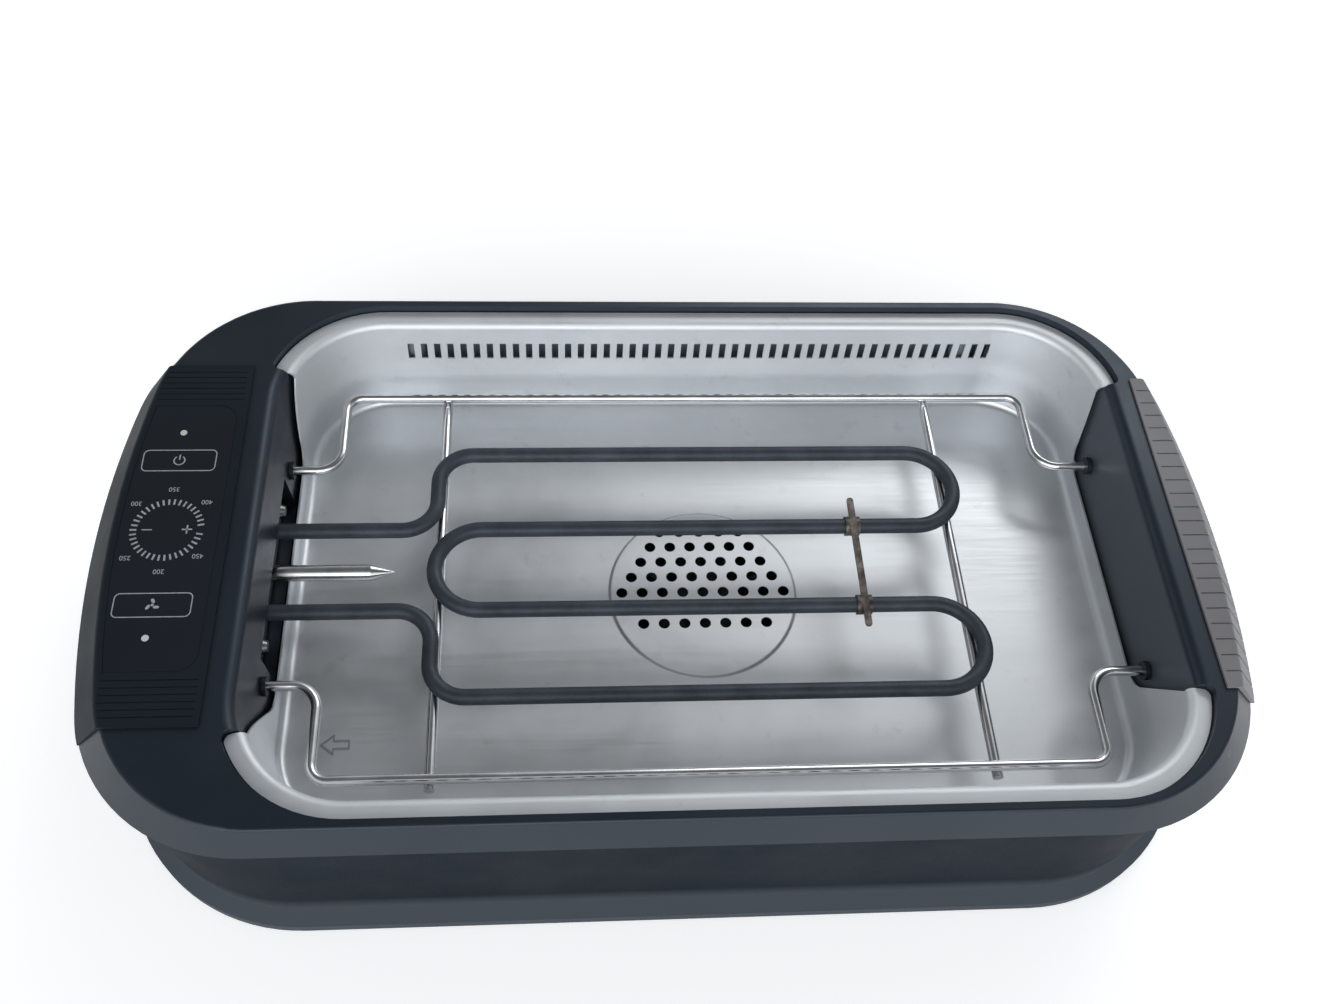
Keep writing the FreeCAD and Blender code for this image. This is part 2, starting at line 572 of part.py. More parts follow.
# ---------------------------------------------------------------- shapes from outlines
def bowed_outline(half_length, half_width, corner, bow, z):
    """Straight long sides, round corners and ends bowed outwards, as one closed wire."""
    bow_x = half_length - bow
    corner_y = half_width - corner
    reach = bow - corner
    corner_x = bow_x + math.sqrt(reach ** 2 - corner_y ** 2)
    join = math.atan2(corner_y, corner_x - bow_x)
    middle = (join + math.pi / 2) / 2
    side = Vector(corner_x, half_width, z)
    knee = Vector(corner_x + corner * math.cos(middle), corner_y + corner * math.sin(middle), z)
    end = Vector(bow_x + bow * math.cos(join), bow * math.sin(join), z)
    tip = Vector(half_length, 0, z)

    def flip(point, sx, sy):
        return Vector(sx * point.x, sy * point.y, z)

    edges = [
        Part.LineSegment(flip(side, -1, 1), side).toShape(),
        Part.Arc(side, knee, end).toShape(),
        Part.Arc(end, tip, flip(end, 1, -1)).toShape(),
        Part.Arc(flip(end, 1, -1), flip(knee, 1, -1), flip(side, 1, -1)).toShape(),
        Part.LineSegment(flip(side, 1, -1), flip(side, -1, -1)).toShape(),
        Part.Arc(flip(side, -1, -1), flip(knee, -1, -1), flip(end, -1, -1)).toShape(),
        Part.Arc(flip(end, -1, -1), flip(tip, -1, 1), flip(end, -1, 1)).toShape(),
        Part.Arc(flip(end, -1, 1), flip(knee, -1, 1), flip(side, -1, 1)).toShape(),
    ]
    return Part.Wire(edges)


def round_rectangle(middle_x, half_length, half_width, corner, z):
    """Rectangle with round corners, as one closed wire."""
    x, y = half_length, half_width
    diagonal = corner * (1 - math.sqrt(0.5))

    def at(px, py):
        return Vector(middle_x + px, py, z)

    edges = []
    for sx, sy, upright in ((1, 1, False), (1, -1, True), (-1, -1, False), (-1, 1, True)):
        along = at(sx * (x - corner), sy * y)
        across = at(sx * x, sy * (y - corner))
        knee = at(sx * (x - diagonal), sy * (y - diagonal))
        first, last = (across, along) if upright else (along, across)
        edges.append(Part.Arc(first, knee, last).toShape())
        if upright:
            edges.append(Part.LineSegment(last, at(-sx * (x - corner), sy * y)).toShape())
        else:
            edges.append(Part.LineSegment(last, at(sx * x, -sy * (y - corner))).toShape())
    return Part.Wire(edges)


def prism(wire, height):
    return Part.Face(wire).extrude(Vector(0, 0, height))


def loft(low, high):
    return Part.makeLoft([low, high], True, True)


def block(x1, y1, z1, x2, y2, z2):
    return Part.makeBox(x2 - x1, y2 - y1, z2 - z1, Vector(x1, y1, z1))


def upright(x, y, z1, z2, radius):
    return Part.makeCylinder(radius, z2 - z1, Vector(x, y, z1))


def four(x, y):
    """The four places that mirror one another in X and Y."""
    return [(sx * x, sy * y) for sx in (-1, 1) for sy in (-1, 1)]


def feature(name, shape):
    """A Part::Feature with its own Placement, set after its shape."""
    obj = doc.addObject("Part::Feature", name)
    obj.Shape = shape.removeSplitter() if len(shape.Solids) == 1 else shape
    obj.Placement = FreeCAD.Placement(Vector(0, 0, 0), Rotation())
    return keep(obj, name)


def tube_along(points, bends, radius):
    """Round bar along straight runs joined by arcs; bends holds the radius at each inner point."""
    edges = []
    start = points[0]
    for index, bend in enumerate(bends, start=1):
        corner = points[index]
        inward = (points[index - 1] - corner).normalize()
        onward = (points[index + 1] - corner).normalize()
        half = inward.getAngle(onward) / 2
        trim = bend / math.tan(half)
        middle = (inward + onward).normalize() * (bend / math.sin(half) - bend)
        begin = corner + inward * trim
        finish = corner + onward * trim
        if (begin - start).Length > 1e-6:
            edges.append(Part.LineSegment(start, begin).toShape())
        edges.append(Part.Arc(begin, corner + middle, finish).toShape())
        start = finish
    edges.append(Part.LineSegment(start, points[-1]).toShape())
    path = Part.Wire(edges)
    heading = (points[1] - points[0]).normalize()
    section = Part.Wire([Part.Circle(points[0], heading, radius).toShape()])
    return path.makePipeShell([section], True, False)


# ---------------------------------------------------------------- outer shell
def rim_outline(z, grow=0.0):
    half_length = v("overall_length") / 2 - v("cover_proud")
    return bowed_outline(half_length + grow, v("rim_width") / 2 + grow,
                         v("rim_corner_radius") + grow, v("end_radius") + grow, z)


def crest_outline(z, grow=0.0):
    return bowed_outline(v("crest_length") / 2 + grow, v("crest_width") / 2 + grow,
                         v("crest_corner_radius") + grow, v("end_radius") + grow, z)


def waist_outline(z, grow=0.0):
    return bowed_outline(v("waist_length") / 2 + grow, v("waist_width") / 2 + grow,
                         v("waist_corner_radius") + grow, v("end_radius") + grow, z)


def skirt_outline(z, grow=0.0):
    return waist_outline(z, v("skirt_flare") + grow)


def rim_body(grow=0.0):
    """The rim as a full solid, from its lower edge to its flat top."""
    return loft(rim_outline(v("rim_edge_z"), grow), crest_outline(v("rim_top_z") + grow, grow))


def mouth(grow, top_z):
    """Tapered plug of the rim's opening."""
    draft = v("mouth_draft")
    half_length, half_width = v("mouth_length") / 2, v("mouth_width") / 2
    low = round_rectangle(v("tray_x"), half_length - draft + grow, half_width - draft + grow,
                          v("mouth_corner") - draft + grow, v("end_wall_foot_z"))
    high = round_rectangle(v("tray_x"), half_length + grow, half_width + grow,
                           v("mouth_corner") + grow, top_z)
    return loft(low, high)


def flange_outline(z, grow=0.0):
    reach = v("flange_width") + grow
    return round_rectangle(v("tray_x"), v("tray_mouth_length") / 2 + reach,
                           v("tray_mouth_width") / 2 + reach, v("tray_mouth_corner") + reach, z)


def is_mouth_edge(edge):
    """True for an edge nearer to the tray's wall than to the outer edge of its flange."""
    point = edge.valueAt((edge.FirstParameter + edge.LastParameter) / 2)
    half = v("flange_width") / 2
    corner = v("tray_mouth_corner") + half
    dx = abs(point.x - v("tray_x")) - (v("tray_mouth_length") / 2 + half - corner)
    dy = abs(point.y) - (v("tray_mouth_width") / 2 + half - corner)
    reach = math.hypot(dx, dy) if dx > 0 and dy > 0 else max(dx, dy)
    return reach < corner


def rolled(plug, slab, z, radius):
    """A plug with a slab on it, the corner between them filled to a radius."""
    solid = plug.fuse(slab)
    corner = [e for e in solid.Edges if abs(e.BoundBox.ZMin - z) < 1e-3
              and abs(e.BoundBox.ZMax - z) < 1e-3 and is_mouth_edge(e)]
    return solid.makeFillet(radius, corner)


def outline_x(y, reach):
    """Distance along X from the tray's middle to its outline, a given reach outside the wall."""
    corner = v("tray_mouth_corner") + reach
    past = max(0.0, abs(y) - (v("tray_mouth_width") / 2 + reach - corner))
    return v("tray_mouth_length") / 2 + reach - corner + math.sqrt(corner ** 2 - past ** 2)


def cut_y(part, side, depth):
    """Where a low end of the tray stops, from the middle: at its foot, head or flange tip."""
    word = "cut_%s_%s_%s" % (part, "left" if side < 0 else "right", depth)
    return v("tray_mouth_width") / 2 - v(word)


def flange_tips(side, grow=0.0):
    """Outer ends of the flange beside one low end: X and Y, front and rear."""
    tips = []
    for sign, depth in ((-1, "front"), (1, "rear")):
        y = cut_y("tip", side, depth) - grow
        tips.append((v("tray_x") + side * outline_x(y, v("flange_width") + grow), sign * y))
    return tips


def end_notch(side, z, grow=0.0):
    """Outline in plan of one low end of the tray, with slanted sides across the flange."""
    heads = []
    for sign, depth in ((-1, "front"), (1, "rear")):
        y = cut_y("head", side, depth) - grow
        heads.append((v("tray_x") + side * outline_x(y, 0), sign * y))
    tips = flange_tips(side, grow)
    deep_x = v("tray_x") + side * (v("tray_mouth_length") - v("tray_mouth_corner")) / 2
    far_x = side * v("overall_length")
    corners = [(deep_x, heads[0][1]), heads[0], tips[0], (far_x, tips[0][1]),
               (far_x, tips[1][1]), tips[1], heads[1], (deep_x, heads[1][1])]
    points = [Vector(x, y, z) for x, y in corners]
    return Part.makePolygon(points + points[:1])


def flange_plan(low_z, high_z, grow=0.0):
    """The flange and what it surrounds, as a block, its slanted ends rounded at the tips."""
    height = high_z - low_z
    solid = prism(flange_outline(low_z, grow), height)
    solid = solid.cut([prism(end_notch(side, low_z, grow), height) for side in (-1, 1)])
    tips = flange_tips(-1, grow) + flange_tips(1, grow)
    upright_edges = [e for e in solid.Edges
                     if e.BoundBox.XLength < 1e-3 and e.BoundBox.ZLength > height / 2]
    rounded = [e for e in upright_edges if any(
        math.hypot(e.CenterOfMass.x - x, e.CenterOfMass.y - y) < 0.01 for x, y in tips)]
    return solid.makeFillet(v("flange_tip_round"), rounded)


def boss_places():
    """Screw bosses that join rim and base: four beside the tray and four at the ends."""
    side = [(v("tray_x") + x, y) for x, y in four(v("boss_x"), v("boss_y"))]
    return side, four(v("end_boss_x"), v("end_boss_y"))


def make_rim():
    """Upper shell: bevelled rim, seat for the tray flange, and the two end walls of the bath."""
    wall = v("shell_wall")
    top = v("rim_top_z")
    edge = v("rim_edge_z")
    solid = rim_body()
    crest = [e for e in solid.Edges if abs(e.BoundBox.ZMin - top) < 1e-3
             and abs(e.BoundBox.ZMax - top) < 1e-3]
    solid = solid.makeFillet(v("crest_edge_round"), crest)
    hollow = loft(rim_outline(edge - wall, -wall), crest_outline(top - wall, -wall))
    shell = solid.cut(hollow)
    seat_z = v("tray_flange_z") - v("tray_sheet")
    ring = prism(flange_outline(seat_z - wall, wall), top - seat_z + wall)
    length_half = v("tray_mouth_length") / 2 - v("tray_mouth_corner")
    free = block(v("tray_x") - length_half, -v("rim_width"), 0,
                 v("tray_x") + length_half, v("rim_width"), seat_z - wall)
    collar = mouth(wall, top).cut(free)
    pocket_wall = block(v("pocket_back_x") - wall, -v("pocket_half_width") - wall,
                        v("pocket_bottom_z") - wall, v("tray_left") + wall,
                        v("pocket_half_width") + wall, v("pocket_top_z") + wall)
    sides, ends = boss_places()
    bosses = [upright(x, y, edge, seat_z - v("boss_ceiling"), v("rim_boss_radius")) for x, y in sides]
    bosses += [upright(x, y, edge, top - wall / 2, v("rim_boss_radius")) for x, y in ends]
    bosses = rim_body().common(Part.makeCompound(bosses))
    shell = shell.fuse([ring.common(rim_body()), collar, pocket_wall, bosses])
    above = prism(flange_outline(top, wall), wall)
    shell = shell.cut(rolled(mouth(0, top), above, top, v("mouth_round")))
    pilots = [upright(x, y, edge - 1, edge + v("case_pilot_depth"), v("screw_radius") + v("touch_gap"))
              for x, y in sides + ends]
    return feature("upper_rim", shell.cut([flange_seat(seat_z), pocket_recess(), panel_window()]
                                          + pilots + wall_holes()))


def flange_seat(seat_z):
    """Room for the flange: flat seat, rounded inner edge and ends that follow the tips."""
    top = v("rim_top_z") + v("shell_wall")
    slab = prism(flange_outline(seat_z, v("seat_gap")), top - seat_z)
    room = rolled(mouth(0, seat_z), slab, seat_z, v("flange_roll") - v("tray_sheet"))
    return room.common(flange_plan(v("end_wall_foot_z") - 1, top, v("seat_gap")))


def pocket_recess():
    return block(v("pocket_back_x"), -v("pocket_half_width"), v("pocket_bottom_z"),
                 v("tray_x"), v("pocket_half_width"), v("pocket_top_z"))


def wall_holes():
    """Holes of the end walls: element leads, probe, flange screws and rack bushes."""
    left = v("pocket_back_x") - 3 * v("shell_wall")
    deep = 4 * v("shell_wall")
    bush_hole = v("bush_stem_radius") + v("touch_gap")
    holes = []

    def along_x(x, y, z, radius, length):
        holes.append(Part.makeCylinder(radius, length, Vector(x, y, z), Vector(1, 0, 0)))

    for sy in (-1, 1):
        along_x(left, sy * v("row_pitch") / 2, v("element_z"),
                v("element_radius") + v("lead_bush_wall") + v("cover_gap"), deep)
        along_x(left, sy * v("flange_screw_y"), v("flange_screw_z"),
                v("screw_radius") + v("touch_gap"), deep)
        y = sy * v("rack_end_half")
        along_x(v("bush_left_x") - 2 * v("bush_stem"), y, v("rack_z"), bush_hole, 2 * v("bush_stem") + 2)
        along_x(v("bush_right_x") - 2, y, v("rack_z"), bush_hole, 2 * v("bush_stem") + 2)
    along_x(left, 0, v("probe_z"), v("probe_radius") + v("probe_bush_wall") + v("cover_gap"), deep)
    return holes


def panel_window():
    """Opening in the rim under the control panel, for the touch board."""
    half = v("window_half_width")
    top = v("rim_top_z")
    return block(v("window_left"), -half, top - 2 * v("shell_wall"), v("window_right"), half, top + 1)


def make_base():
    """Lower shell: body, flared skirt, floor, fan opening, posts and screw bosses."""
    wall = v("shell_wall")
    low = v("skirt_bottom_z")
    lip_z = low + v("skirt_lip")
    flare_z = lip_z + v("flare_height")
    edge = v("rim_edge_z")
    floor_top = v("floor_top")
    outer = prism(waist_outline(low), edge - low)
    outer = outer.fuse([prism(skirt_outline(low), lip_z - low),
                        loft(skirt_outline(lip_z), waist_outline(flare_z)),
                        prism(rim_outline(edge - wall, -v("lap_inset")), wall)])
    inside = prism(waist_outline(floor_top, -wall), edge)
    under = prism(skirt_outline(low - 1, -wall), lip_z - wall / 2 - low + 1)
    under = under.fuse(loft(skirt_outline(lip_z - wall / 2, -wall), waist_outline(flare_z - wall)))
    gutter = under.cut(prism(waist_outline(low - 2), edge))
    underside = prism(waist_outline(low - 1, -wall), v("floor_z") - low + 1)
    shell = outer.cut([inside, gutter, underside])
    sides, ends = boss_places()
    solids = [upright(x, y, v("floor_z"), edge, v("boss_radius")) for x, y in sides + ends]
    solids += [upright(x, y, floor_top - wall / 2, z, r) for x, y, z, r, _ in post_list()]
    holes = [upright(x, y, z - v("pilot_depth"), z + 1, r) for x, y, z, _, r in post_list()]
    for x, y in sides + ends:
        holes.append(upright(x, y, v("floor_z") - 1, v("case_head_z"),
                             v("screw_head_radius") + v("head_slack")))
        holes.append(upright(x, y, v("case_head_z") - 1, edge + 1, v("screw_radius") + v("hole_gap")))
    for x, y in four(v("foot_x"), v("foot_y")):
        holes.append(upright(x, y, v("floor_z") - 1, floor_top + 1,
                             v("foot_stem_radius") + v("foot_stem_gap")))
    holes.append(Part.makeCylinder(v("gland_radius") + v("gland_gap"), 4 * v("gland_depth"),
                                   Vector(v("gland_x"), gland_wall_y() - 2 * v("gland_depth"),
                                          v("gland_z")), Vector(0, 1, 0)))
    holes.append(fan_opening())
    return feature("lower_base", shell.fuse(solids).cut(holes))


def gland_wall_y():
    """Outer face of the rear wall at the gland."""
    bow_x = v("waist_length") / 2 - v("end_radius")
    corner = v("waist_corner_radius")
    corner_y = v("waist_width") / 2 - corner
    corner_x = bow_x + math.sqrt((v("end_radius") - corner) ** 2 - corner_y ** 2)
    past = max(0.0, abs(v("gland_x")) - corner_x)
    return corner_y + math.sqrt(corner ** 2 - past ** 2)


def thirds():
    """Three directions a third of a turn apart, the first along +Y."""
    return [math.radians(90 + 120 * step) for step in range(3)]


def bracket_posts():
    circle = v("bracket_post_circle")
    return [(v("tray_x") + circle * math.cos(turn), circle * math.sin(turn)) for turn in thirds()]


def shield_posts():
    return [(v("tray_x") + x, y) for x, y in four(v("shield_post_x"), v("shield_post_y"))]


def board_posts():
    inset = v("board_hole_inset")
    return [(v("board_x") + x, y) for x, y in
            four(v("board_width") / 2 - inset, v("board_length") / 2 - inset)]


def post_list():
    """Posts on the floor: x, y, top, outer radius and pilot radius."""
    pilot = v("screw_radius") + v("touch_gap")
    posts = [(x, y, v("bracket_z"), v("post_radius"), pilot) for x, y in bracket_posts()]
    posts += [(x, y, v("shield_z"), v("post_radius"), pilot) for x, y in shield_posts()]
    posts += [(x, y, v("board_z"), v("board_post_radius"), pilot) for x, y in board_posts()]
    return posts


def fan_opening():
    """Round opening with three notches that let the cover's tabs through."""
    wall = v("shell_wall")
    low = v("floor_z") - 1
    solid = upright(v("tray_x"), 0, low, v("floor_top") + 1, v("fan_opening_radius"))
    reach = v("fan_opening_radius") + v("tab_reach") + v("running_gap")
    notch_angle = v("tab_angle") + v("notch_slack")
    for step in range(3):
        start = 120 * step + v("twist_angle") - notch_angle / 2
        sector = Part.makeCylinder(reach, wall + 2, Vector(0, 0, 0), Vector(0, 0, 1), notch_angle)
        sector.rotate(Vector(0, 0, 0), Vector(0, 0, 1), start)
        sector.translate(Vector(v("tray_x"), 0, low))
        solid = solid.fuse(sector)
    return solid


# ---------------------------------------------------------------- covers on the rim
def cover_outside(side, top_z, bow, half_width, inner_x, shrink=0.0):
    """Outside of a cover on one end of the rim, or the same a little smaller."""
    proud = v("cover_proud") - shrink
    edge = v("rim_edge_z")
    half = v("overall_length") / 2
    crest = v("crest_length") / 2 + proud
    high_z = top_z - shrink
    low = bowed_outline(half - shrink, v("rim_width") / 2 + proud, v("rim_corner_radius"), bow, edge)
    high = bowed_outline(crest, v("crest_width") / 2 + proud, v("crest_corner_radius"), bow, high_z)
    first, last = sorted((inner_x, side * 2 * half))
    window = block(first, -half_width, edge - 1, last, half_width, top_z + 1)
    solid = loft(low, high).common(window)
    rounded = [e for e in solid.Edges if abs(e.CenterOfMass.z - high_z) < 0.01
               and abs(abs(e.CenterOfMass.x) - crest) < v("bevel_end") / 2 and e.Length > half_width]
    return solid.makeFillet(v("cover_edge_round") + top_z - v("rim_top_z"), rounded)


def top_grooves(centres, first_x, last_x, top_z):
    """Narrow grooves along X in the flat top of a cover."""
    half, depth = v("panel_groove_width") / 2, v("panel_groove_depth")
    return [block(first_x, y - half, top_z - depth, last_x, y + half, top_z + 1) for y in centres]


def make_panel():
    top = v("panel_top_z")
    inner = v("panel_inner_x")
    half_width = v("panel_half_width")
    solid = cover_outside(-1, top, v("panel_end_radius"), half_width, inner)
    solid = solid.cut(rim_body(v("cover_gap")))
    recess = prism(overlay_outline(v("overlay_top_z") - v("overlay_sheet"), v("overlay_gap")), 5)
    first = v("overlay_half_width") + v("panel_groove_gap")
    pitch = v("panel_groove_pitch")
    count = int((half_width - v("panel_groove_margin") - first) / pitch) + 1
    centres = [sy * (first + pitch * step) for sy in (-1, 1) for step in range(count)]
    crest = -v("crest_length") / 2 - v("cover_proud")
    tools = [recess] + lamp_holes() + top_grooves(
        centres, crest + v("panel_groove_crest"), inner - v("panel_groove_inset"), top)
    stakes = [upright(x, y, v("rim_top_z") - v("stake_length"), v("rim_top_z") + v("panel_step") / 2,
                      v("stake_radius")) for x, y in stake_places()]
    return feature("control_panel", solid.cut(tools).fuse(stakes))


def lamp_holes():
    radius = v("lamp_radius") + v("touch_gap")
    low, high = v("rim_top_z") - v("shell_wall"), v("panel_top_z") + 1
    return [upright(v("lamp_x"), sy * v("lamp_y"), low, high, radius) for sy in (-1, 1)]


def stake_places():
    inset = v("stake_inset_x")
    y = v("window_half_width") - v("stake_inset_y")
    return [(x, sy * y) for x in (v("window_left") + inset, v("window_right") - inset) for sy in (-1, 1)]


def overlay_outline(z, grow=0.0):
    """Outline of the touch overlay: bowed outer edge, two round inner corners."""
    half = v("overlay_half_width") + grow
    bow = v("panel_end_radius")
    outer = v("crest_length") / 2 + v("cover_proud") - v("overlay_margin") + grow
    inner = v("overlay_inner_x") + grow
    corner = v("overlay_corner")
    sag = bow - math.sqrt(bow ** 2 - half ** 2)
    outer_top = Vector(-outer + sag, half, z)
    outer_low = Vector(-outer + sag, -half, z)
    turn = corner * (1 - math.sqrt(0.5))
    edges = [Part.Arc(outer_low, Vector(-outer, 0, z), outer_top).toShape(),
             Part.LineSegment(outer_top, Vector(inner - corner, half, z)).toShape(),
             Part.Arc(Vector(inner - corner, half, z), Vector(inner - turn, half - turn, z),
                      Vector(inner, half - corner, z)).toShape(),
             Part.LineSegment(Vector(inner, half - corner, z),
                              Vector(inner, corner - half, z)).toShape(),
             Part.Arc(Vector(inner, corner - half, z), Vector(inner - turn, turn - half, z),
                      Vector(inner - corner, -half, z)).toShape(),
             Part.LineSegment(Vector(inner - corner, -half, z), outer_low).toShape()]
    return Part.Wire(edges)


def make_overlay():
    sheet_t = v("overlay_sheet")
    solid = prism(overlay_outline(v("overlay_top_z") - sheet_t), sheet_t)
    return feature("touch_overlay", solid.cut(lamp_holes()))


def make_grip():
    """Ribbed grip: grooves run along X over its top and down its bevel."""
    top = v("grip_top_z")
    shape = (1, top, v("grip_end_radius"), v("grip_half_width"), v("grip_inner_x"))
    pitch = v("grip_groove_pitch")
    half = v("grip_groove_width") / 2
    count = int((v("grip_half_width") - v("grip_groove_margin")) / pitch)
    first_x = v("grip_inner_x") + v("grip_groove_end")
    bands = [block(first_x, pitch * step - half, v("rim_edge_z") - 1,
                   v("overall_length"), pitch * step + half, top + 1)
             for step in range(-count, count + 1)]
    core = cover_outside(*shape, shrink=v("grip_groove_depth"))
    solid = cover_outside(*shape).cut([band.cut(core) for band in bands])
    return feature("grip_cover", solid.cut(rim_body(v("cover_gap"))))


def make_lamps():
    """Two clear pins that carry light from the touch board to the overlay."""
    for sign, word in ((1, "power"), (-1, "fan")):
        obj = cylinder("lamp_lens_" + word, "Sizes.lamp_radius",
                       "Sizes.panel_step - Sizes.overlay_drop",
                       "Places.lamp_x", "%d * Sizes.lamp_y" % sign, "Sizes.rim_top_z")
        keep(obj, "lamp_lens_" + word)


# ---------------------------------------------------------------- stainless tray
def tray_plug(grow, low_z, high_z):
    low = round_rectangle(v("tray_x"), v("tray_floor_length") / 2 + grow,
                          v("tray_floor_width") / 2 + grow, v("tray_floor_corner") + grow, low_z)
    high = round_rectangle(v("tray_x"), v("tray_mouth_length") / 2 + grow,
                           v("tray_mouth_width") / 2 + grow, v("tray_mouth_corner") + grow, high_z)
    solid = loft(low, high)
    foot = [e for e in solid.Edges if abs(e.BoundBox.ZMax - low_z) < 1e-3]
    return solid.makeFillet(v("tray_foot_bend") + grow, foot)


def make_tray():
    """One pressed sheet: floor, raised fan disc, slotted walls, rolled flange, low ends."""
    sheet_t = v("tray_sheet")
    top = v("tray_flange_z")
    floor = v("tray_floor_z")
    under = top - sheet_t
    roll = v("flange_roll")
    outside = rolled(tray_plug(sheet_t, floor - sheet_t, under),
                     prism(flange_outline(under), sheet_t), under, roll - sheet_t)
    inside = rolled(tray_plug(0, floor, top), prism(flange_outline(top, roll), roll), top, roll)
    radius = v("disc_radius")
    rise = v("disc_rise")
    disc_top = Part.makeCone(radius + rise, radius - rise, rise, Vector(v("tray_x"), 0, floor))
    disc_low = disc_top.translated(Vector(0, 0, -sheet_t))
    solid = outside.cut(inside).fuse(disc_top).cut(disc_low).fuse(floor_arrow())
    bend_z = top - roll - sheet_t
    past_flange = prism(flange_outline(bend_z, roll), top + 1 - bend_z)
    past_flange = past_flange.cut(flange_plan(bend_z, top + 1))
    tools = [end_cut(-1, bend_z), end_cut(1, bend_z), past_flange]
    return feature("tray_liner", solid.cut(tools + disc_holes() + wall_slots()))


def end_cut(side, head_z):
    """Block that takes away the high part of one end wall of the tray."""
    lip_z = v("tray_lip_z")
    top = v("tray_flange_z") + v("flange_roll")
    foot_front, foot_rear = cut_y("foot", side, "front"), cut_y("foot", side, "rear")
    head_front, head_rear = cut_y("head", side, "front"), cut_y("head", side, "rear")
    corners = [(-foot_front, lip_z), (foot_rear, lip_z), (head_rear, head_z), (head_rear, top),
               (-head_front, top), (-head_front, head_z)]
    points = [Vector(v("tray_x"), y, z) for y, z in corners]
    face = Part.Face(Part.makePolygon(points + points[:1]))
    solid = face.extrude(Vector(side * v("tray_mouth_length"), 0, 0))
    foot = [edge for edge in solid.Edges
            if abs(edge.CenterOfMass.z - lip_z) < 0.01 and edge.BoundBox.YLength < 0.01]
    return solid.makeFillet(v("cut_round"), foot)


def floor_arrow():
    """Outline of an arrow that points to the control end, standing a little above the floor."""
    length = v("arrow_length")
    neck = -length * 0.05
    half_head, half_tail = 0.36 * length, 0.15 * length
    corners = [(-length / 2, 0), (neck, half_head), (neck, half_tail), (length / 2, half_tail),
               (length / 2, -half_tail), (neck, -half_tail), (neck, -half_head)]
    bite = v("tray_sheet") / 4
    base = v("tray_floor_z") - bite
    points = [Vector(v("arrow_x") + x, v("arrow_y") + y, base) for x, y in corners]
    face = Part.Face(Part.makePolygon(points + points[:1]))
    half = v("arrow_line") / 2
    line = face.makeOffset2D(half).cut(face.makeOffset2D(-half))
    return line.extrude(Vector(0, 0, v("arrow_rise") + bite))


def disc_holes():
    """Rows of holes over the fan, staggered by half a pitch; the lower part stays plain."""
    holes = []
    pitch = v("hole_pitch")
    spacing = pitch * math.sqrt(0.75)
    floor = v("tray_floor_z")
    for row in range(-2, 5):
        count = 9 - abs(row)
        for step in range(count):
            x = v("tray_x") + (step - (count - 1) / 2) * pitch
            holes.append(upright(x, row * spacing, floor - 3, floor + 3, v("hole_radius")))
    return holes


def wall_slots():
    """Upright vent slots near the top of both long walls."""
    slots = []
    near = v("tray_floor_width") / 2 - v("tray_draft")
    far = v("tray_mouth_width") / 2 + 2 * v("tray_sheet")
    low_z = v("slot_bottom_z")
    for row, low_y, high_y in (("rear", near, far), ("front", -far, -near)):
        count = int(round(v(row + "_slot_count")))
        half = v(row + "_slot_width") / 2
        middle = v("tray_x") + v(row + "_slot_offset")
        for step in range(count):
            x = middle + (step - (count - 1) / 2) * v(row + "_slot_pitch")
            slots.append(block(x - half, low_y, low_z, x + half, high_y, low_z + v("slot_height")))
    return slots


# ---------------------------------------------------------------- element, rack and probe
def make_element():
    """One bent tube: two leads, two S-bends, two outer U-turns and one inner U-turn."""
    half = v("row_pitch") / 2
    left, right = v("turn_left_x"), v("turn_right_x")
    jog = left - half
    points = [(v("lead_x"), half), (jog, half), (jog, 3 * half), (right + half, 3 * half),
              (right + half, half), (jog, half), (jog, -half), (right + half, -half),
              (right + half, -3 * half), (jog, -3 * half), (jog, -half), (v("lead_x"), -half)]
    points = [Vector(x, y, v("element_z")) for x, y in points]
    turn, jog_bend = half - 0.002, v("element_jog_bend")
    bends = [jog_bend] * 2 + [turn] * 6 + [jog_bend] * 2
    return feature("heating_element", tube_along(points, bends, v("element_radius")))


def make_rack():
    """Two long wires with jogged ends and two cross wires welded under them."""
    z = v("rack_z")
    first_x = v("bush_left_x") - v("wire_depth")
    last_x = v("bush_right_x") + v("wire_depth")
    end_bend, jog_bend = v("rack_end_bend"), v("rack_jog_bend")
    for sign, word in ((1, "rear"), (-1, "front")):
        outer, inner = sign * v("rack_half_width"), sign * v("rack_end_half")
        points = [(first_x, inner), (v("jog_left_x"), inner), (v("jog_left_x"), outer),
                  (v("jog_right_x"), outer), (v("jog_right_x"), inner), (last_x, inner)]
        points = [Vector(x, y, z) for x, y in points]
        bends = [end_bend, jog_bend, jog_bend, end_bend]
        feature("rack_wire_" + word, tube_along(points, bends, v("wire_radius")))
    for word in ("left", "right"):
        obj = cylinder("rack_cross_" + word, "Sizes.wire_radius",
                       "2 * (Places.rack_half_width + Sizes.cross_overhang)",
                       "Places.cross_%s_x" % word,
                       "-Places.rack_half_width - Sizes.cross_overhang",
                       "Places.rack_z - 2 * Sizes.wire_radius", ALONG_Y)
        keep(obj, "rack_cross_" + word)


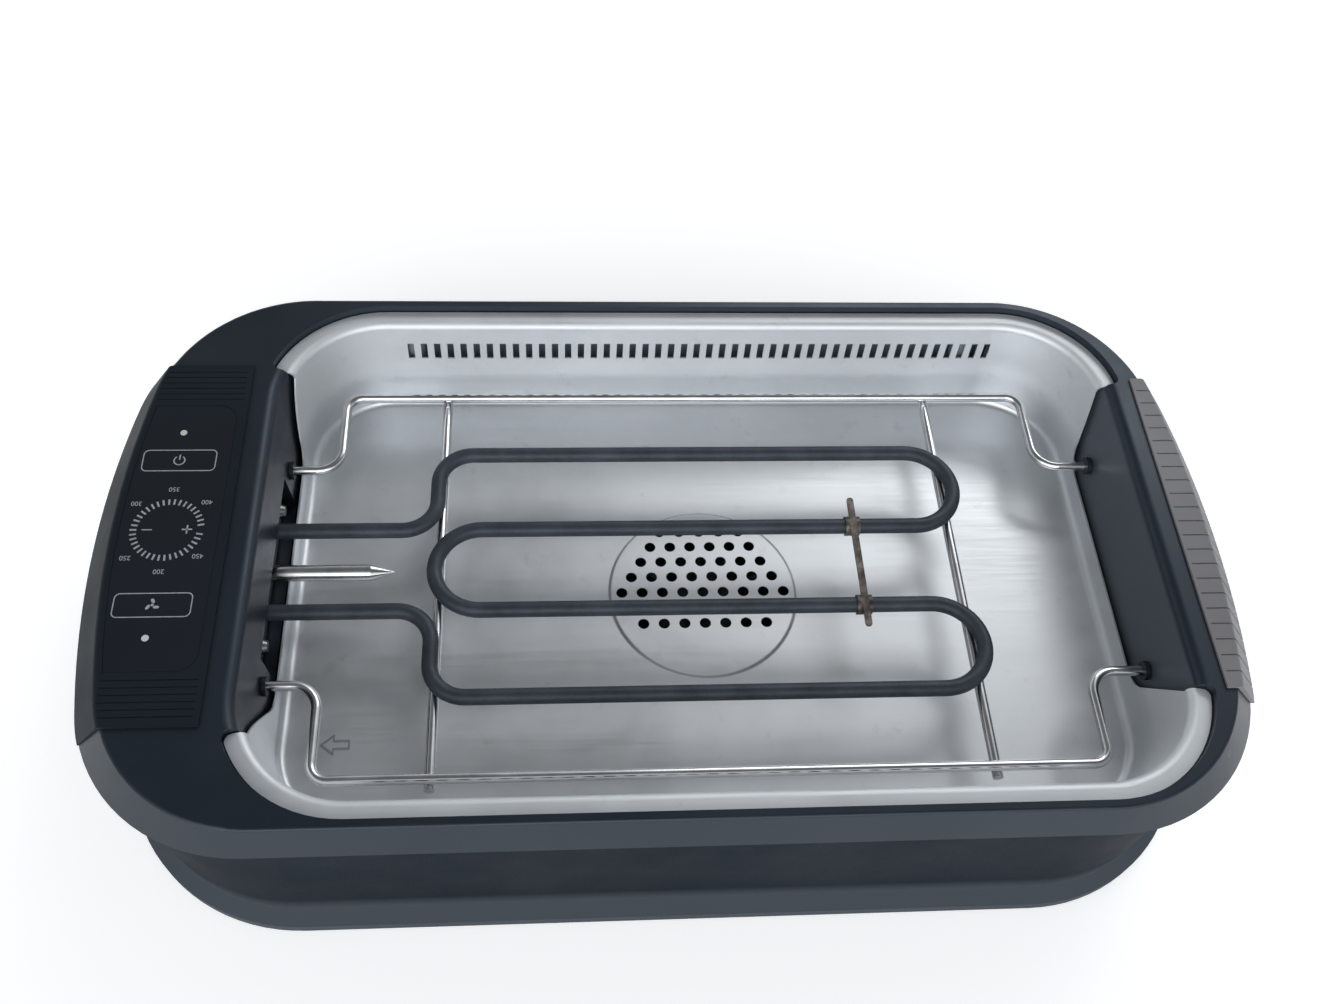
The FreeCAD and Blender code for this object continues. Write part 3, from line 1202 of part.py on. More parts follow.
def make_bushes():
    """Four bushes in the end walls that hold the ends of the long wires."""
    stem = "Sizes.bush_stem"
    depth = "(Sizes.wire_depth + Sizes.touch_gap)"
    bushes = []
    for sign in (1, -1):
        y = "%d * Sizes.rack_end_half" % sign
        for word, outward in (("left", -1), ("right", 1)):
            name = "bush_%s_%d" % (word, sign)
            face = "Places.bush_%s_x" % word
            head = "Sizes.bush_%s_collar" % word
            head_x, stem_x, bore_x = face, face, face + " - 1"
            if outward < 0:
                head_x, stem_x, bore_x = (face + " - " + run for run in (head, stem, depth))
            collar = cylinder(name + "_collar", "Sizes.bush_radius", head, head_x, y,
                              "Places.rack_z", ALONG_X)
            core = cylinder(name + "_stem", "Sizes.bush_stem_radius", stem, stem_x, y,
                            "Places.rack_z", ALONG_X)
            bore = cylinder(name + "_bore", "Sizes.wire_radius + Sizes.touch_gap", depth + " + 1",
                            bore_x, y, "Places.rack_z", ALONG_X)
            bushes.append(cut(name, fuse(name + "_solid", [collar, core]), [bore]))
    keep(group("rack_bushes", bushes), "rack_bushes")


def make_clip():
    """Thin round-ended strip over the two inner rows, with a saddle round each tube."""
    half = v("row_pitch") / 2
    z = v("element_z")
    radius = v("element_radius") + v("touch_gap")
    width, thick, saddle = v("clip_width"), v("clip_sheet"), v("saddle_width")
    x = v("clip_x")
    low = z + radius
    end = v("clip_half_length") - width / 2
    strip = block(x - width / 2, -end, low, x + width / 2, end, low + thick)
    ends = [upright(x, sy * end, low, low + thick, width / 2) for sy in (-1, 1)]
    saddles, tools = [], []
    for sy in (-1, 1):
        middle = Vector(x - saddle / 2, sy * half, z)
        saddles.append(Part.makeCylinder(radius + thick, saddle, middle, Vector(1, 0, 0)))
        tools.append(Part.makeCylinder(radius, saddle, middle, Vector(1, 0, 0)))
        tools.append(block(x - saddle, sy * half - radius * 0.8, z - 3 * radius, x + saddle,
                           sy * half + radius * 0.8, z))
    return feature("element_clip", strip.fuse(ends + saddles).cut(tools))


def make_probe():
    """Pointed stainless probe of the thermostat, revolved about its own axis."""
    body = new_body("thermostat_probe")
    sketch = new_sketch(body, "probe_profile", "XZ_Plane")
    tail_x = "(Places.pocket_back_x - Sizes.shell_wall - Sizes.probe_tail)"
    length = "(Places.probe_tip_x - %s)" % tail_x
    draw_polygon(sketch, [("0", "0"), ("Sizes.probe_radius", "0"),
                          ("Sizes.probe_radius", length + " - Sizes.probe_point"),
                          ("Sizes.probe_tip_radius", length), ("0", length)])
    body.Tip = revolve(body, sketch, "probe_turn")
    locate(body, tail_x, "0", "Places.probe_z", ALONG_X)
    keep(body, "thermostat_probe")
    bush = cylinder("probe_bush_outer", "Sizes.probe_radius + Sizes.probe_bush_wall",
                    "Sizes.shell_wall + 3", "Places.pocket_back_x - Sizes.shell_wall - 1.5", "0",
                    "Places.probe_z", ALONG_X)
    bore = cylinder("probe_bush_bore", "Sizes.probe_radius + Sizes.touch_gap",
                    "Sizes.shell_wall + 8", "Places.pocket_back_x - Sizes.shell_wall - 4", "0",
                    "Places.probe_z", ALONG_X)
    keep(cut("probe_bush", bush, [bore]), "probe_bush")


def make_flange():
    """Steel plate of the element, its two screws and the ceramic bushes of the leads."""
    back = "Places.pocket_back_x"
    level = "Places.element_z"
    half = "(Sizes.pocket_half_width - Sizes.plate_margin)"
    plate = box("flange_blank", "Sizes.plate_sheet", "2 * " + half,
                "Sizes.pocket_height - 2 * Sizes.plate_margin", back + " + Sizes.head_gap",
                "-" + half, "Places.pocket_bottom_z + Sizes.plate_margin")
    tools, screws = [], []
    for sign in (-1, 1):
        row = "%d * Sizes.row_pitch / 2" % sign
        y = "%d * Places.flange_screw_y" % sign
        tools.append(cylinder("flange_lead_%d" % sign, "Sizes.element_radius + Sizes.touch_gap",
                              "10", back + " - 2", row, level, ALONG_X))
        tools.append(cylinder("flange_hole_%d" % sign, "Sizes.screw_radius + Sizes.hole_gap", "10",
                              back + " - 2", y, "Places.flange_screw_z", ALONG_X))
        seat = back + " + Sizes.plate_sheet + 2 * Sizes.head_gap"
        shank = cylinder("flange_shank_%d" % sign, "Sizes.screw_radius", "Sizes.flange_screw_length",
                         seat + " - Sizes.flange_screw_length", y, "Places.flange_screw_z", ALONG_X)
        head = cone("flange_head_%d" % sign, "Sizes.flange_screw_head",
                    "Sizes.flange_screw_head * 0.6", "Sizes.flange_screw_dome", seat, y,
                    "Places.flange_screw_z", ALONG_X)
        screws.append(fuse("flange_screw_%d" % sign, [shank, head]))
    tools.append(cylinder("flange_probe",
                          "Sizes.probe_radius + Sizes.probe_bush_wall + Sizes.hole_gap", "10",
                          back + " - 2", "0", "Places.probe_z", ALONG_X))
    keep(cut("element_flange", plate, tools), "element_flange")
    keep(group("flange_screws", screws), "flange_screws")
    for sign, word in ((1, "rear"), (-1, "front")):
        y = "%d * Sizes.row_pitch / 2" % sign
        outer = cylinder("lead_bush_outer_" + word, "Sizes.element_radius + Sizes.lead_bush_wall",
                         "Sizes.lead_bush_length",
                         back + " - Sizes.head_gap - Sizes.lead_bush_length", y, level, ALONG_X)
        bore = cylinder("lead_bush_bore_" + word, "Sizes.element_radius + Sizes.touch_gap",
                        "3 * Sizes.lead_bush_length", back + " - 2 * Sizes.lead_bush_length",
                        y, level, ALONG_X)
        keep(cut("lead_bush_" + word, outer, [bore]), "lead_bush_" + word)
        keep(cylinder("lead_terminal_" + word, "Sizes.terminal_radius", "Sizes.terminal_length",
                      "Places.lead_x - Sizes.terminal_length", y, level, ALONG_X),
             "lead_terminal_" + word)


# ---------------------------------------------------------------- fan
def make_fan_cover():
    """Round cover under the fan: plate, hub ring, three bayonet tabs and air slots."""
    body = new_body("fan_cover")
    hub = "(Sizes.fan_opening_radius - Sizes.running_gap)"
    below = "(Sizes.floor_z - Sizes.running_gap)"
    disc = new_sketch(body, "cover_disc", offset="Sizes.skirt_bottom_z")
    draw_circle(disc, "Sizes.fan_opening_radius + Sizes.cover_lap")
    pad(body, disc, "%s - Sizes.skirt_bottom_z" % below, "cover_plate")
    ring = new_sketch(body, "cover_ring", offset=below + " - 0.2")
    draw_circle(ring, hub)
    draw_circle(ring, hub + " - Sizes.hub_wall")
    tab_low = "(Places.floor_top + Sizes.running_gap)"
    pad(body, ring, "%s + Sizes.tab_sheet - %s + 0.2" % (tab_low, below), "cover_hub")
    tab = new_sketch(body, "cover_tab", offset=tab_low)
    reach = "(Sizes.fan_opening_radius + Sizes.tab_reach - Sizes.running_gap)"
    width = "(%s * sin(Sizes.tab_angle / 2))" % hub
    far = "(%s * cos(Sizes.tab_angle / 2))" % reach
    draw_rectangle(tab, hub + " - 2", "-" + width, far, width)
    first_tab = pad(body, tab, "Sizes.tab_sheet", "cover_first_tab")
    polar(body, first_tab, "3", "cover_tabs")
    slot = new_sketch(body, "cover_slot", offset="Sizes.skirt_bottom_z - 1")
    draw_rectangle(slot, "Sizes.cover_slot_start", "-Sizes.cover_slot_width / 2",
                   "Sizes.cover_slot_end", "Sizes.cover_slot_width / 2")
    first_slot = pocket(body, slot, "12", "cover_first_slot")
    polar(body, first_slot, "Sizes.cover_slot_count", "cover_slots")
    locate(body, "Places.tray_x", "0", "0")
    keep(body, "fan_cover")


def make_motor():
    """Motor can with a bored boss for the shaft, on a three-armed bracket."""
    body = new_body("fan_motor")
    can = new_sketch(body, "motor_can", offset="Places.motor_z")
    draw_circle(can, "Sizes.motor_radius")
    draw_circle(can, "Sizes.shaft_radius + Sizes.shaft_gap")
    pad(body, can, "Sizes.motor_height", "motor_body")
    neck = new_sketch(body, "motor_neck", offset="Places.motor_z + Sizes.motor_height - 0.1")
    draw_circle(neck, "Sizes.motor_neck_radius")
    draw_circle(neck, "Sizes.shaft_radius + Sizes.shaft_gap")
    body.Tip = pad(body, neck, "1.1", "motor_boss")
    locate(body, "Places.tray_x", "0", "0")
    keep(body, "fan_motor")

    bracket = new_body("motor_bracket")
    plate = new_sketch(bracket, "bracket_disc", offset="Places.bracket_z")
    draw_circle(plate, "Sizes.motor_radius + Sizes.bracket_rim")
    pad(bracket, plate, "Sizes.bracket_sheet", "bracket_plate")
    arm = new_sketch(bracket, "bracket_arm", offset="Places.bracket_z")
    draw_rectangle(arm, "-Sizes.bracket_arm_width / 2", "Sizes.motor_radius",
                   "Sizes.bracket_arm_width / 2", "Places.bracket_post_circle + Sizes.bracket_arm_end")
    polar(bracket, pad(bracket, arm, "Sizes.bracket_sheet", "bracket_first_arm"), "3", "bracket_arms")
    hole = new_sketch(bracket, "bracket_hole", offset="Places.bracket_z - 1")
    draw_circle(hole, "Sizes.screw_radius + Sizes.hole_gap", "0", "Places.bracket_post_circle")
    polar(bracket, pocket(bracket, hole, "Sizes.bracket_sheet + 2", "bracket_first_hole"), "3",
          "bracket_holes")
    locate(bracket, "Places.tray_x", "0", "0")
    keep(bracket, "motor_bracket")


def make_impeller():
    """Radial impeller with a hub pressed on the motor's shaft."""
    body = new_body("fan_impeller")
    back = new_sketch(body, "impeller_disc", offset="Places.impeller_z")
    draw_circle(back, "Sizes.impeller_radius")
    draw_circle(back, "Sizes.shaft_radius")
    pad(body, back, "Sizes.impeller_plate", "impeller_back")
    level = "Places.impeller_z + Sizes.impeller_plate - 0.1"
    hub = new_sketch(body, "impeller_hub", offset=level)
    draw_circle(hub, "Sizes.impeller_hub_radius")
    draw_circle(hub, "Sizes.shaft_radius")
    pad(body, hub, "Sizes.impeller_hub_height", "impeller_boss")
    blade = new_sketch(body, "impeller_blade", offset=level)
    end = "Sizes.impeller_radius - 1.5"
    draw_polygon(blade, [("Sizes.blade_start", "-1"), ("Sizes.blade_start", "-1 - Sizes.blade_sheet"),
                         (end, "-1 - Sizes.blade_sweep"),
                         (end, "Sizes.blade_sheet - 1 - Sizes.blade_sweep")])
    first = pad(body, blade, "Sizes.blade_height + 0.1", "impeller_first_blade")
    polar(body, first, "Sizes.blade_count", "impeller_blades")
    locate(body, "Places.tray_x", "0", "0")
    keep(body, "fan_impeller")
    shaft_z = "Places.bracket_z + Sizes.shaft_end"
    hub_top = "(%s + Sizes.impeller_hub_height)" % level
    keep(cylinder("fan_shaft", "Sizes.shaft_radius", "%s - (%s)" % (hub_top, shaft_z),
                  "Places.tray_x", "0", shaft_z), "fan_shaft")


def make_guard():
    """Ring round the impeller with large air windows, and the seal between it and the tray."""
    base = v("motor_z")
    inner, wall = v("guard_radius"), v("guard_wall")
    top = v("guard_top_z")
    x = v("tray_x")
    solid = upright(x, 0, base, top, inner + wall).cut(upright(x, 0, base - 1, top + 1, inner))
    half, ring = v("guard_window_width") / 2, v("guard_ring")
    count = int(round(v("guard_window_count")))
    turn = 360 / count
    windows = []
    for step in range(count):
        window = block(inner - wall, -half, base + ring, inner + 2 * wall, half, top - ring)
        window.rotate(Vector(0, 0, 0), Vector(0, 0, 1), turn * (step + 0.5))
        window.translate(Vector(x, 0, 0))
        windows.append(window)
    feature("fan_guard", solid.cut(windows))
    outer = cylinder("seal_outer", "Places.guard_radius + Sizes.guard_wall + 1",
                     "Sizes.seal_height", "Places.tray_x", "0", "Places.guard_top_z")
    bore = cylinder("seal_bore", "Places.guard_radius - 1", "Sizes.seal_height + 2",
                    "Places.tray_x", "0", "Places.guard_top_z - 1")
    keep(cut("tray_seal", outer, [bore]), "tray_seal")


def make_shield():
    """Flat heat shield between the tray and the floor, with a round hole for the fan guard."""
    z = v("shield_z")
    half_length = v("tray_floor_length") / 2 - v("shield_margin_x")
    half_width = v("tray_floor_width") / 2 - v("shield_margin_y")
    outline = round_rectangle(v("tray_x"), half_length, half_width, v("shield_corner"), z)
    hole = v("guard_radius") + v("guard_wall") + v("shield_gap")
    tools = [upright(v("tray_x"), 0, z - 1, z + 2, hole)]
    tools += [upright(x, y, z - 1, z + 2, v("screw_radius") + v("hole_gap")) for x, y in shield_posts()]
    return feature("heat_shield", prism(outline, v("shield_sheet")).cut(tools))


# ---------------------------------------------------------------- electronics
def make_boards():
    """Power board on its posts with relay, transformer and terminals; touch board in the window."""
    z = v("board_z")
    thick = v("board_sheet")
    x, half_x, half_y = v("board_x"), v("board_width") / 2, v("board_length") / 2
    plate = block(x - half_x, -half_y, z, x + half_x, half_y, z + thick)
    holes = [upright(px, py, z - 1, z + thick + 1, v("screw_radius") + v("hole_gap"))
             for px, py in board_posts()]
    feature("power_board", plate.cut(holes))
    on_board = "Places.board_z + Sizes.board_sheet"
    for name, size in (("power_relay", "relay"), ("power_transformer", "transformer"),
                       ("terminal_block", "block")):
        sides = ["Sizes.%s_%s" % (size, side) for side in ("width", "length", "height")]
        corner_x = "Places.board_x + Sizes.%s_from_middle_x" % size
        keep(box(name, *sides, corner_x, "Sizes.%s_from_middle_y" % size, on_board), name)
    keep(cylinder("power_capacitor", "Sizes.capacitor_radius", "Sizes.capacitor_height",
                  "Places.board_x + Sizes.capacitor_from_middle_x",
                  "Sizes.capacitor_from_middle_y", on_board), "power_capacitor")
    gap = v("touch_board_gap")
    half = v("window_half_width") - gap
    top = v("rim_top_z") - v("touch_gap")
    touch = block(v("window_left") + gap, -half, top - thick, v("window_right") - gap, half, top)
    holes = [upright(px, py, top - thick - 1, top + 1, v("stake_radius") + v("cover_gap"))
             for px, py in stake_places()]
    feature("touch_board", touch.cut(holes))


# ---------------------------------------------------------------- feet, screws and gland
def make_feet():
    """Four rubber feet, revolved: a pad and a stem in the floor."""
    stem = "Sizes.foot_stem_radius"
    stem_top = "Places.floor_top + Sizes.foot_chamfer"
    for sx, side in ((-1, "left"), (1, "right")):
        for sy, depth in ((-1, "front"), (1, "rear")):
            name = "foot_%s_%s" % (depth, side)
            body = new_body(name)
            sketch = new_sketch(body, name + "_profile", "XZ_Plane")
            draw_polygon(sketch, [("0", "0"), ("Sizes.foot_radius - Sizes.foot_chamfer", "0"),
                                  ("Sizes.foot_radius", "Sizes.foot_chamfer"),
                                  ("Sizes.foot_radius", "Sizes.floor_z"), (stem, "Sizes.floor_z"),
                                  (stem, stem_top), ("0", stem_top)])
            body.Tip = revolve(body, sketch, name + "_turn")
            locate(body, "%d * Places.foot_x" % sx, "%d * Places.foot_y" % sy, "0")
            keep(body, name)


def screw_shape(x, y, z, length, up=True):
    """Pan-head screw whose head sits at z; it points up or down."""
    sign = 1 if up else -1
    shank = Part.makeCylinder(v("screw_radius"), length, Vector(x, y, z), Vector(0, 0, sign))
    head = Part.makeCone(v("screw_head_radius"), v("screw_head_radius") * 0.75, v("screw_head"),
                         Vector(x, y, z), Vector(0, 0, -sign))
    return shank.fuse(head).removeSplitter()


def make_screws():
    """Screws of the case, of the bracket, of the shield and of the power board."""
    gap = v("head_gap")
    sides, ends = boss_places()
    feature("case_screws", Part.makeCompound(
        [screw_shape(x, y, v("case_head_z") - gap, v("case_screw_length")) for x, y in sides + ends]))
    for name, seats, seat_z, length in (
            ("bracket_screws", bracket_posts(), v("motor_z"), v("bracket_screw_length")),
            ("shield_screws", shield_posts(), v("shield_z") + v("shield_sheet"),
             v("small_screw_length")),
            ("board_screws", board_posts(), v("board_z") + v("board_sheet"),
             v("small_screw_length"))):
        feature(name, Part.makeCompound(
            [screw_shape(x, y, seat_z + gap, length, False) for x, y in seats]))


def make_gland():
    """Rubber gland in the rear wall where the mains cord enters."""
    inner_y = "(%.3f - Sizes.gland_depth)" % gland_wall_y()
    length = "(Sizes.gland_depth + Sizes.gland_collar)"
    body = cylinder("gland_body", "Sizes.gland_radius", length, "Places.gland_x", inner_y,
                    "Sizes.gland_z", ALONG_Y)
    collar = cylinder("gland_rim", "Sizes.gland_radius + Sizes.gland_collar", "Sizes.gland_collar",
                      "Places.gland_x", "%s + %s" % (inner_y, length), "Sizes.gland_z", ALONG_Y)
    bore = cylinder("gland_hole", "Sizes.gland_bore", "2 * " + length, "Places.gland_x",
                    inner_y + " - 1", "Sizes.gland_z", ALONG_Y)
    keep(cut("cord_gland", fuse("gland_solid", [body, collar]), [bore]), "cord_gland")


# ---------------------------------------------------------------- build, check, write
def build():
    make_rim()
    make_base()
    make_panel()
    make_overlay()
    make_grip()
    make_lamps()
    make_tray()
    make_element()
    make_rack()
    make_bushes()
    make_clip()
    make_probe()
    make_flange()
    make_fan_cover()
    make_motor()
    make_impeller()
    make_guard()
    make_shield()
    make_boards()
    make_feet()
    make_screws()
    make_gland()
    doc.recompute()


def check():
    """Stop on any failed object or unsound shape."""
    faults = []
    for obj in doc.Objects:
        if "Invalid" in obj.State or "Error" in obj.State:
            faults.append("%s is %s" % (obj.Name, obj.State))
    for label, obj in nodes.items():
        shape = obj.Shape
        if shape.isNull() or not shape.isValid() or not shape.Solids:
            faults.append("%s has an unsound shape" % label)
    if faults:
        raise RuntimeError("; ".join(faults))


def write():
    os.makedirs("parts", exist_ok=True)
    for label, obj in nodes.items():
        obj.Shape.exportStep(os.path.join("parts", label + ".step"))
        print(label, len(obj.Shape.Solids), round(obj.Shape.Volume, 1))


build()
check()
write()
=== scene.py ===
import math

import bmesh
import bpy
from mathutils import Matrix, Vector


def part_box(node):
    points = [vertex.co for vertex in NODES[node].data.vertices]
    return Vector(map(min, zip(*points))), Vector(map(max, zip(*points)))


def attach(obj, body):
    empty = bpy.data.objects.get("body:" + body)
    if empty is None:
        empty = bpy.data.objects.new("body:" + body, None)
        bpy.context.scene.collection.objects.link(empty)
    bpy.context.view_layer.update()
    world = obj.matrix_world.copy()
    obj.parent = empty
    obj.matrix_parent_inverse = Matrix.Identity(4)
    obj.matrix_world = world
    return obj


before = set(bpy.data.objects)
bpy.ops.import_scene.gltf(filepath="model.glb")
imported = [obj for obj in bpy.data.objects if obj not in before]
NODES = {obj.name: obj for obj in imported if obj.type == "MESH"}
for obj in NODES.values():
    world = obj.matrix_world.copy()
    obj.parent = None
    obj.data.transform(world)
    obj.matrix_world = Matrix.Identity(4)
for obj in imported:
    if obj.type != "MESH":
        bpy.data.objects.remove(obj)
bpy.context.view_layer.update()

MM = 0.001
SHARP_ANGLE = math.radians(32)

# ---------------------------------------------------------------- values: camera and light
# The camera is solved from the photograph: pixels, millimetres of the frame and radians.
PHOTO_WIDTH, PHOTO_HEIGHT = 1320, 1004
FOCAL_PX = 1293.98
CENTRE_PX = (651.66, 501.15)
CAMERA_MM = (-54.5, -324.3, 631.4)
PITCH, YAW, ROLL = 0.98306, 0.13086, 0.10114
SENSOR = 36.0
CLIP_START, CLIP_END = 0.01, 100.0

# Dome: strength at the horizon and overhead, and the Z of the direction where the change
# between them begins and ends.
DOME_COLOR = (0.93, 0.965, 1.0)
DOME_HORIZON, DOME_TOP = 0.62, 0.16
DOME_STEP = (0.25, 0.80)
# Glows: direction, cosines of the angle from it where the glow begins and is full, strength.
REAR_GLOW = ((0.40, 0.68, 0.61), (0.86, 0.99), 1.10)
FRONT_GLOW = ((-0.10, -0.98, 0.18), (0.40, 0.97), 1.60)
# White that only camera, glossy and transmission rays see, fading out above the horizon.
BACKDROP_STEP = (0.06, 0.20)
BACKDROP = 1.0

# Lamps: name, place, target, width and height in metres, watts.
LAMPS = (
    ("front", (-0.5, -2.4, 1.6), (0, 0, 0.1), (3.0, 2.0), 17.0),
    ("rear_strip", (0.68, 1.26, 1.30), (0.05, 0, 0.1), (1.05, 0.28), 5.0),
)

# Floor: its colour carries light and shadow, and the lift makes it white for seen_ray's rays.
FLOOR_HALF = 6.0
FLOOR_COLOR = (0.92, 0.92, 0.92)
FLOOR_LIFT = 0.42

# ---------------------------------------------------------------- values: materials
# Places in metres of the frame: half sizes of boxes about its origin, and steps from one level
# to another. A step whose second level is the lower one falls as the level rises.
INNER_HALF = (0.185, 0.1428, 0.105)    # paler faces inside lower_base, seen through the tray's slots
INNER_STEP = (0.066, 0.072)
FOOT_SHEEN_STEP = (0.030, 0.018)             # painted sheen: lowest edge of lower_base made lighter, standing in for a reflection
PAINTED_LIGHT_END_HALF = (0.30, 0.118, 0.20)        # painted light: end wall of the bath beside the grip made lighter, on upper_rim
PAINTED_LIGHT_END_X_STEPS = ((0.186, 0.194), (0.240, 0.236))
PAINTED_LIGHT_END_TOP_STEP = (0.1150, 0.1120)
WALL_STEP = (0.064, 0.082)             # satin walls of the tray, and its flange
FLANGE_STEP = (0.1105, 0.1135)
PAINTED_EDGE_SHADE_HALF = (0.17, 0.09, 0.06)      # painted shade: edges of the disc pressed up from the floor, and of the arrow on it, made darker
PAINTED_EDGE_SHADE_STEPS = ((0.05512, 0.05520), (0.05578, 0.05562))

NOISE_LOW, NOISE_HIGH = 0.35, 0.65     # where most values of a noise texture lie
PLASTIC_TINT = (0.76, 0.88, 1.0)       # cool tint of the plastics' reflections
SHELL_TONES = ((0.0080, 0.0118, 0.0175), (0.0110, 0.0156, 0.0225))

# ---------------------------------------------------------------- values: print of the panel
# Millimetres of the frame, and degrees. The print reads upright from the +Y side.
INK_RISE, INK_THICK = 0.03, 0.03
DIAL = (-232.8, 0.3)
TICK_COUNT = 38
TICK_INNER, TICK_OUTER, TICK_WIDTH = 13.6, 16.6, 0.88
SIGN_OFFSET, SIGN_ARM = 9.0, 2.3
MINUS_WIDTH, PLUS_WIDTH = 0.55, 0.75
KEY_X, KEY_Y = -233.0, 39.0
KEY_HALF, KEY_CORNER, KEY_WIDTH = (16.9, 5.95), 2.4, 0.5
POWER_RADIUS, POWER_TURN, POWER_WIDTH = 2.5, (125, 415), 0.6
POWER_STROKE = (0.4, 3.4)
HUB_RADIUS, BLADE_RADIUS = 0.7, 2.1
BLADE_TURNS, BLADE_POINTS = (90, 210, 330), 16
BLADE_HALF, BLADE_TWIST = (1.35, 0.75), 0.5    # the twist is in radians
NUMBER_SIZE = 3.4
# Middle of each number, measured from the middle of the dial.
NUMBERS = {
    200: (-0.2, -22.2), 250: (-16.1, -14.9), 300: (-15.9, 14.4),
    350: (0.0, 22.2), 400: (15.9, 14.9), 450: (15.8, -14.3),
}


# ---------------------------------------------------------------- node trees
class Tree:
    """A node tree, with short helpers that return an output socket."""

    def __init__(self, tree):
        self.tree = tree

    def node(self, kind, **settings):
        made = self.tree.nodes.new(kind)
        for key, value in settings.items():
            setattr(made, key, value)
        return made

    def link(self, source, target):
        self.tree.links.new(source, target)

    def put(self, value, target):
        """Links an output socket, or sets a plain value; a colour comes without its alpha."""
        if isinstance(value, bpy.types.NodeSocket):
            self.link(value, target)
        elif target.type == "RGBA":
            target.default_value = (*value, 1.0)
        else:
            target.default_value = value

    def combine(self, operation, *values):
        """Math node of one or two values, each an output socket or a number."""
        made = self.node("ShaderNodeMath", operation=operation)
        for value, target in zip(values, made.inputs):
            self.put(value, target)
        return made.outputs[0]

    def add(self, first, *others):
        for other in others:
            first = self.combine("ADD", first, other)
        return first

    def times(self, first, *others):
        for other in others:
            first = self.combine("MULTIPLY", first, other)
        return first

    def axes(self, vector):
        split = self.node("ShaderNodeSeparateXYZ")
        self.link(vector, split.inputs[0])
        return split.outputs

    def span(self, source, low, high, first=NOISE_LOW, last=NOISE_HIGH, kind="LINEAR"):
        """Maps source from first..last to low..high, and holds it at both ends."""
        made = self.node("ShaderNodeMapRange", interpolation_type=kind)
        limits = {"From Min": first, "From Max": last, "To Min": low, "To Max": high}
        for name, value in limits.items():
            made.inputs[name].default_value = value
        self.link(source, made.inputs["Value"])
        return made.outputs["Result"]

    def seen_ray(self):
        """1 for the rays that show a background: camera, glossy and transmission."""
        path = self.node("ShaderNodeLightPath").outputs
        return self.add(path["Is Camera Ray"], path["Is Glossy Ray"], path["Is Transmission Ray"])


class Shader(Tree):
    """A principled material with short helpers for its procedural nodes."""

    SOCKETS = {
        "color": "Base Color", "roughness": "Roughness", "metallic": "Metallic",
        "specular": "Specular IOR Level", "tint": "Specular Tint",
        "glow": "Emission Color", "glow_strength": "Emission Strength",
    }

    def __init__(self, name):
        self.material = bpy.data.materials.new(name)
        self.material.use_nodes = True
        super().__init__(self.material.node_tree)
        self.base = self.tree.nodes["Principled BSDF"]
        self.place = self.node("ShaderNodeTexCoord").outputs["Object"]

    def set(self, **values):
        """Gives sockets of the principled shader an output socket or a plain value."""
        for name, value in values.items():
            self.put(value, self.base.inputs[self.SOCKETS[name]])

    def noise(self, scale, detail=4.0, rough=0.55, stretch=(1, 1, 1), distortion=0.0):
        """Noise by place in the frame, in metres; stretch scales its three axes."""
        mapping = self.node("ShaderNodeMapping")
        mapping.inputs["Scale"].default_value = stretch
        self.link(self.place, mapping.inputs["Vector"])
        made = self.node("ShaderNodeTexNoise")
        made.inputs["Scale"].default_value = scale
        made.inputs["Detail"].default_value = detail
        made.inputs["Roughness"].default_value = rough
        made.inputs["Distortion"].default_value = distortion
        self.link(mapping.outputs["Vector"], made.inputs["Vector"])
        return made.outputs["Fac"]

    def mix(self, factor, first, second):
        """Mix of two colours, each an output socket or a plain colour."""
        made = self.node("ShaderNodeMix", data_type="RGBA")
        # The node has sockets for every data type: these are its factor and its colours.
        for index, value in ((0, factor), (6, first), (7, second)):
            self.put(value, made.inputs[index])
        return made.outputs[2]

    def tones(self, source, dark, light):
        """Colour that goes from dark to light with a noise."""
        return self.mix(self.span(source, 0.0, 1.0), dark, light)

    def ramp(self, source, stops):
        """Colour that follows a noise through two or more stops."""
        made = self.node("ShaderNodeValToRGB")
        elements = made.color_ramp.elements
        for element, (position, color) in zip(elements, (stops[0], stops[-1])):
            element.position, element.color = position, (*color, 1.0)
        for position, color in stops[1:-1]:
            elements.new(position).color = (*color, 1.0)
        self.link(source, made.inputs["Fac"])
        return made.outputs["Color"]

    def inside(self, half):
        """1 within half of the origin along every axis, else 0."""
        return self.times(*(self.combine("LESS_THAN", self.combine("ABSOLUTE", along), limit)
                            for along, limit in zip(self.axes(self.place), half)))

    def step(self, first, last, axis="Z"):
        """0 at the level first and 1 at last, along an axis."""
        return self.span(self.axes(self.place)[axis], 0.0, 1.0, first, last)

    def bump(self, source, strength, distance):
        """Fine relief from a noise; distance is its height in metres."""
        made = self.node("ShaderNodeBump")
        made.inputs["Strength"].default_value = strength
        made.inputs["Distance"].default_value = distance
        self.link(source, made.inputs["Height"])
        self.link(made.outputs["Normal"], self.base.inputs["Normal"])


# ---------------------------------------------------------------- camera, light and floor
def add_object(name, data):
    made = bpy.data.objects.new(name, data)
    bpy.context.scene.collection.objects.link(made)
    return made


def camera_axes():
    """Right, up and forward of the camera from its pitch, yaw and roll."""
    forward = Vector((math.sin(YAW) * math.cos(PITCH), math.cos(YAW) * math.cos(PITCH),
                      -math.sin(PITCH)))
    level = Vector((math.cos(YAW), -math.sin(YAW), 0.0))
    above = level.cross(forward)
    right = math.cos(ROLL) * level + math.sin(ROLL) * above
    up = -math.sin(ROLL) * level + math.cos(ROLL) * above
    return right, up, forward


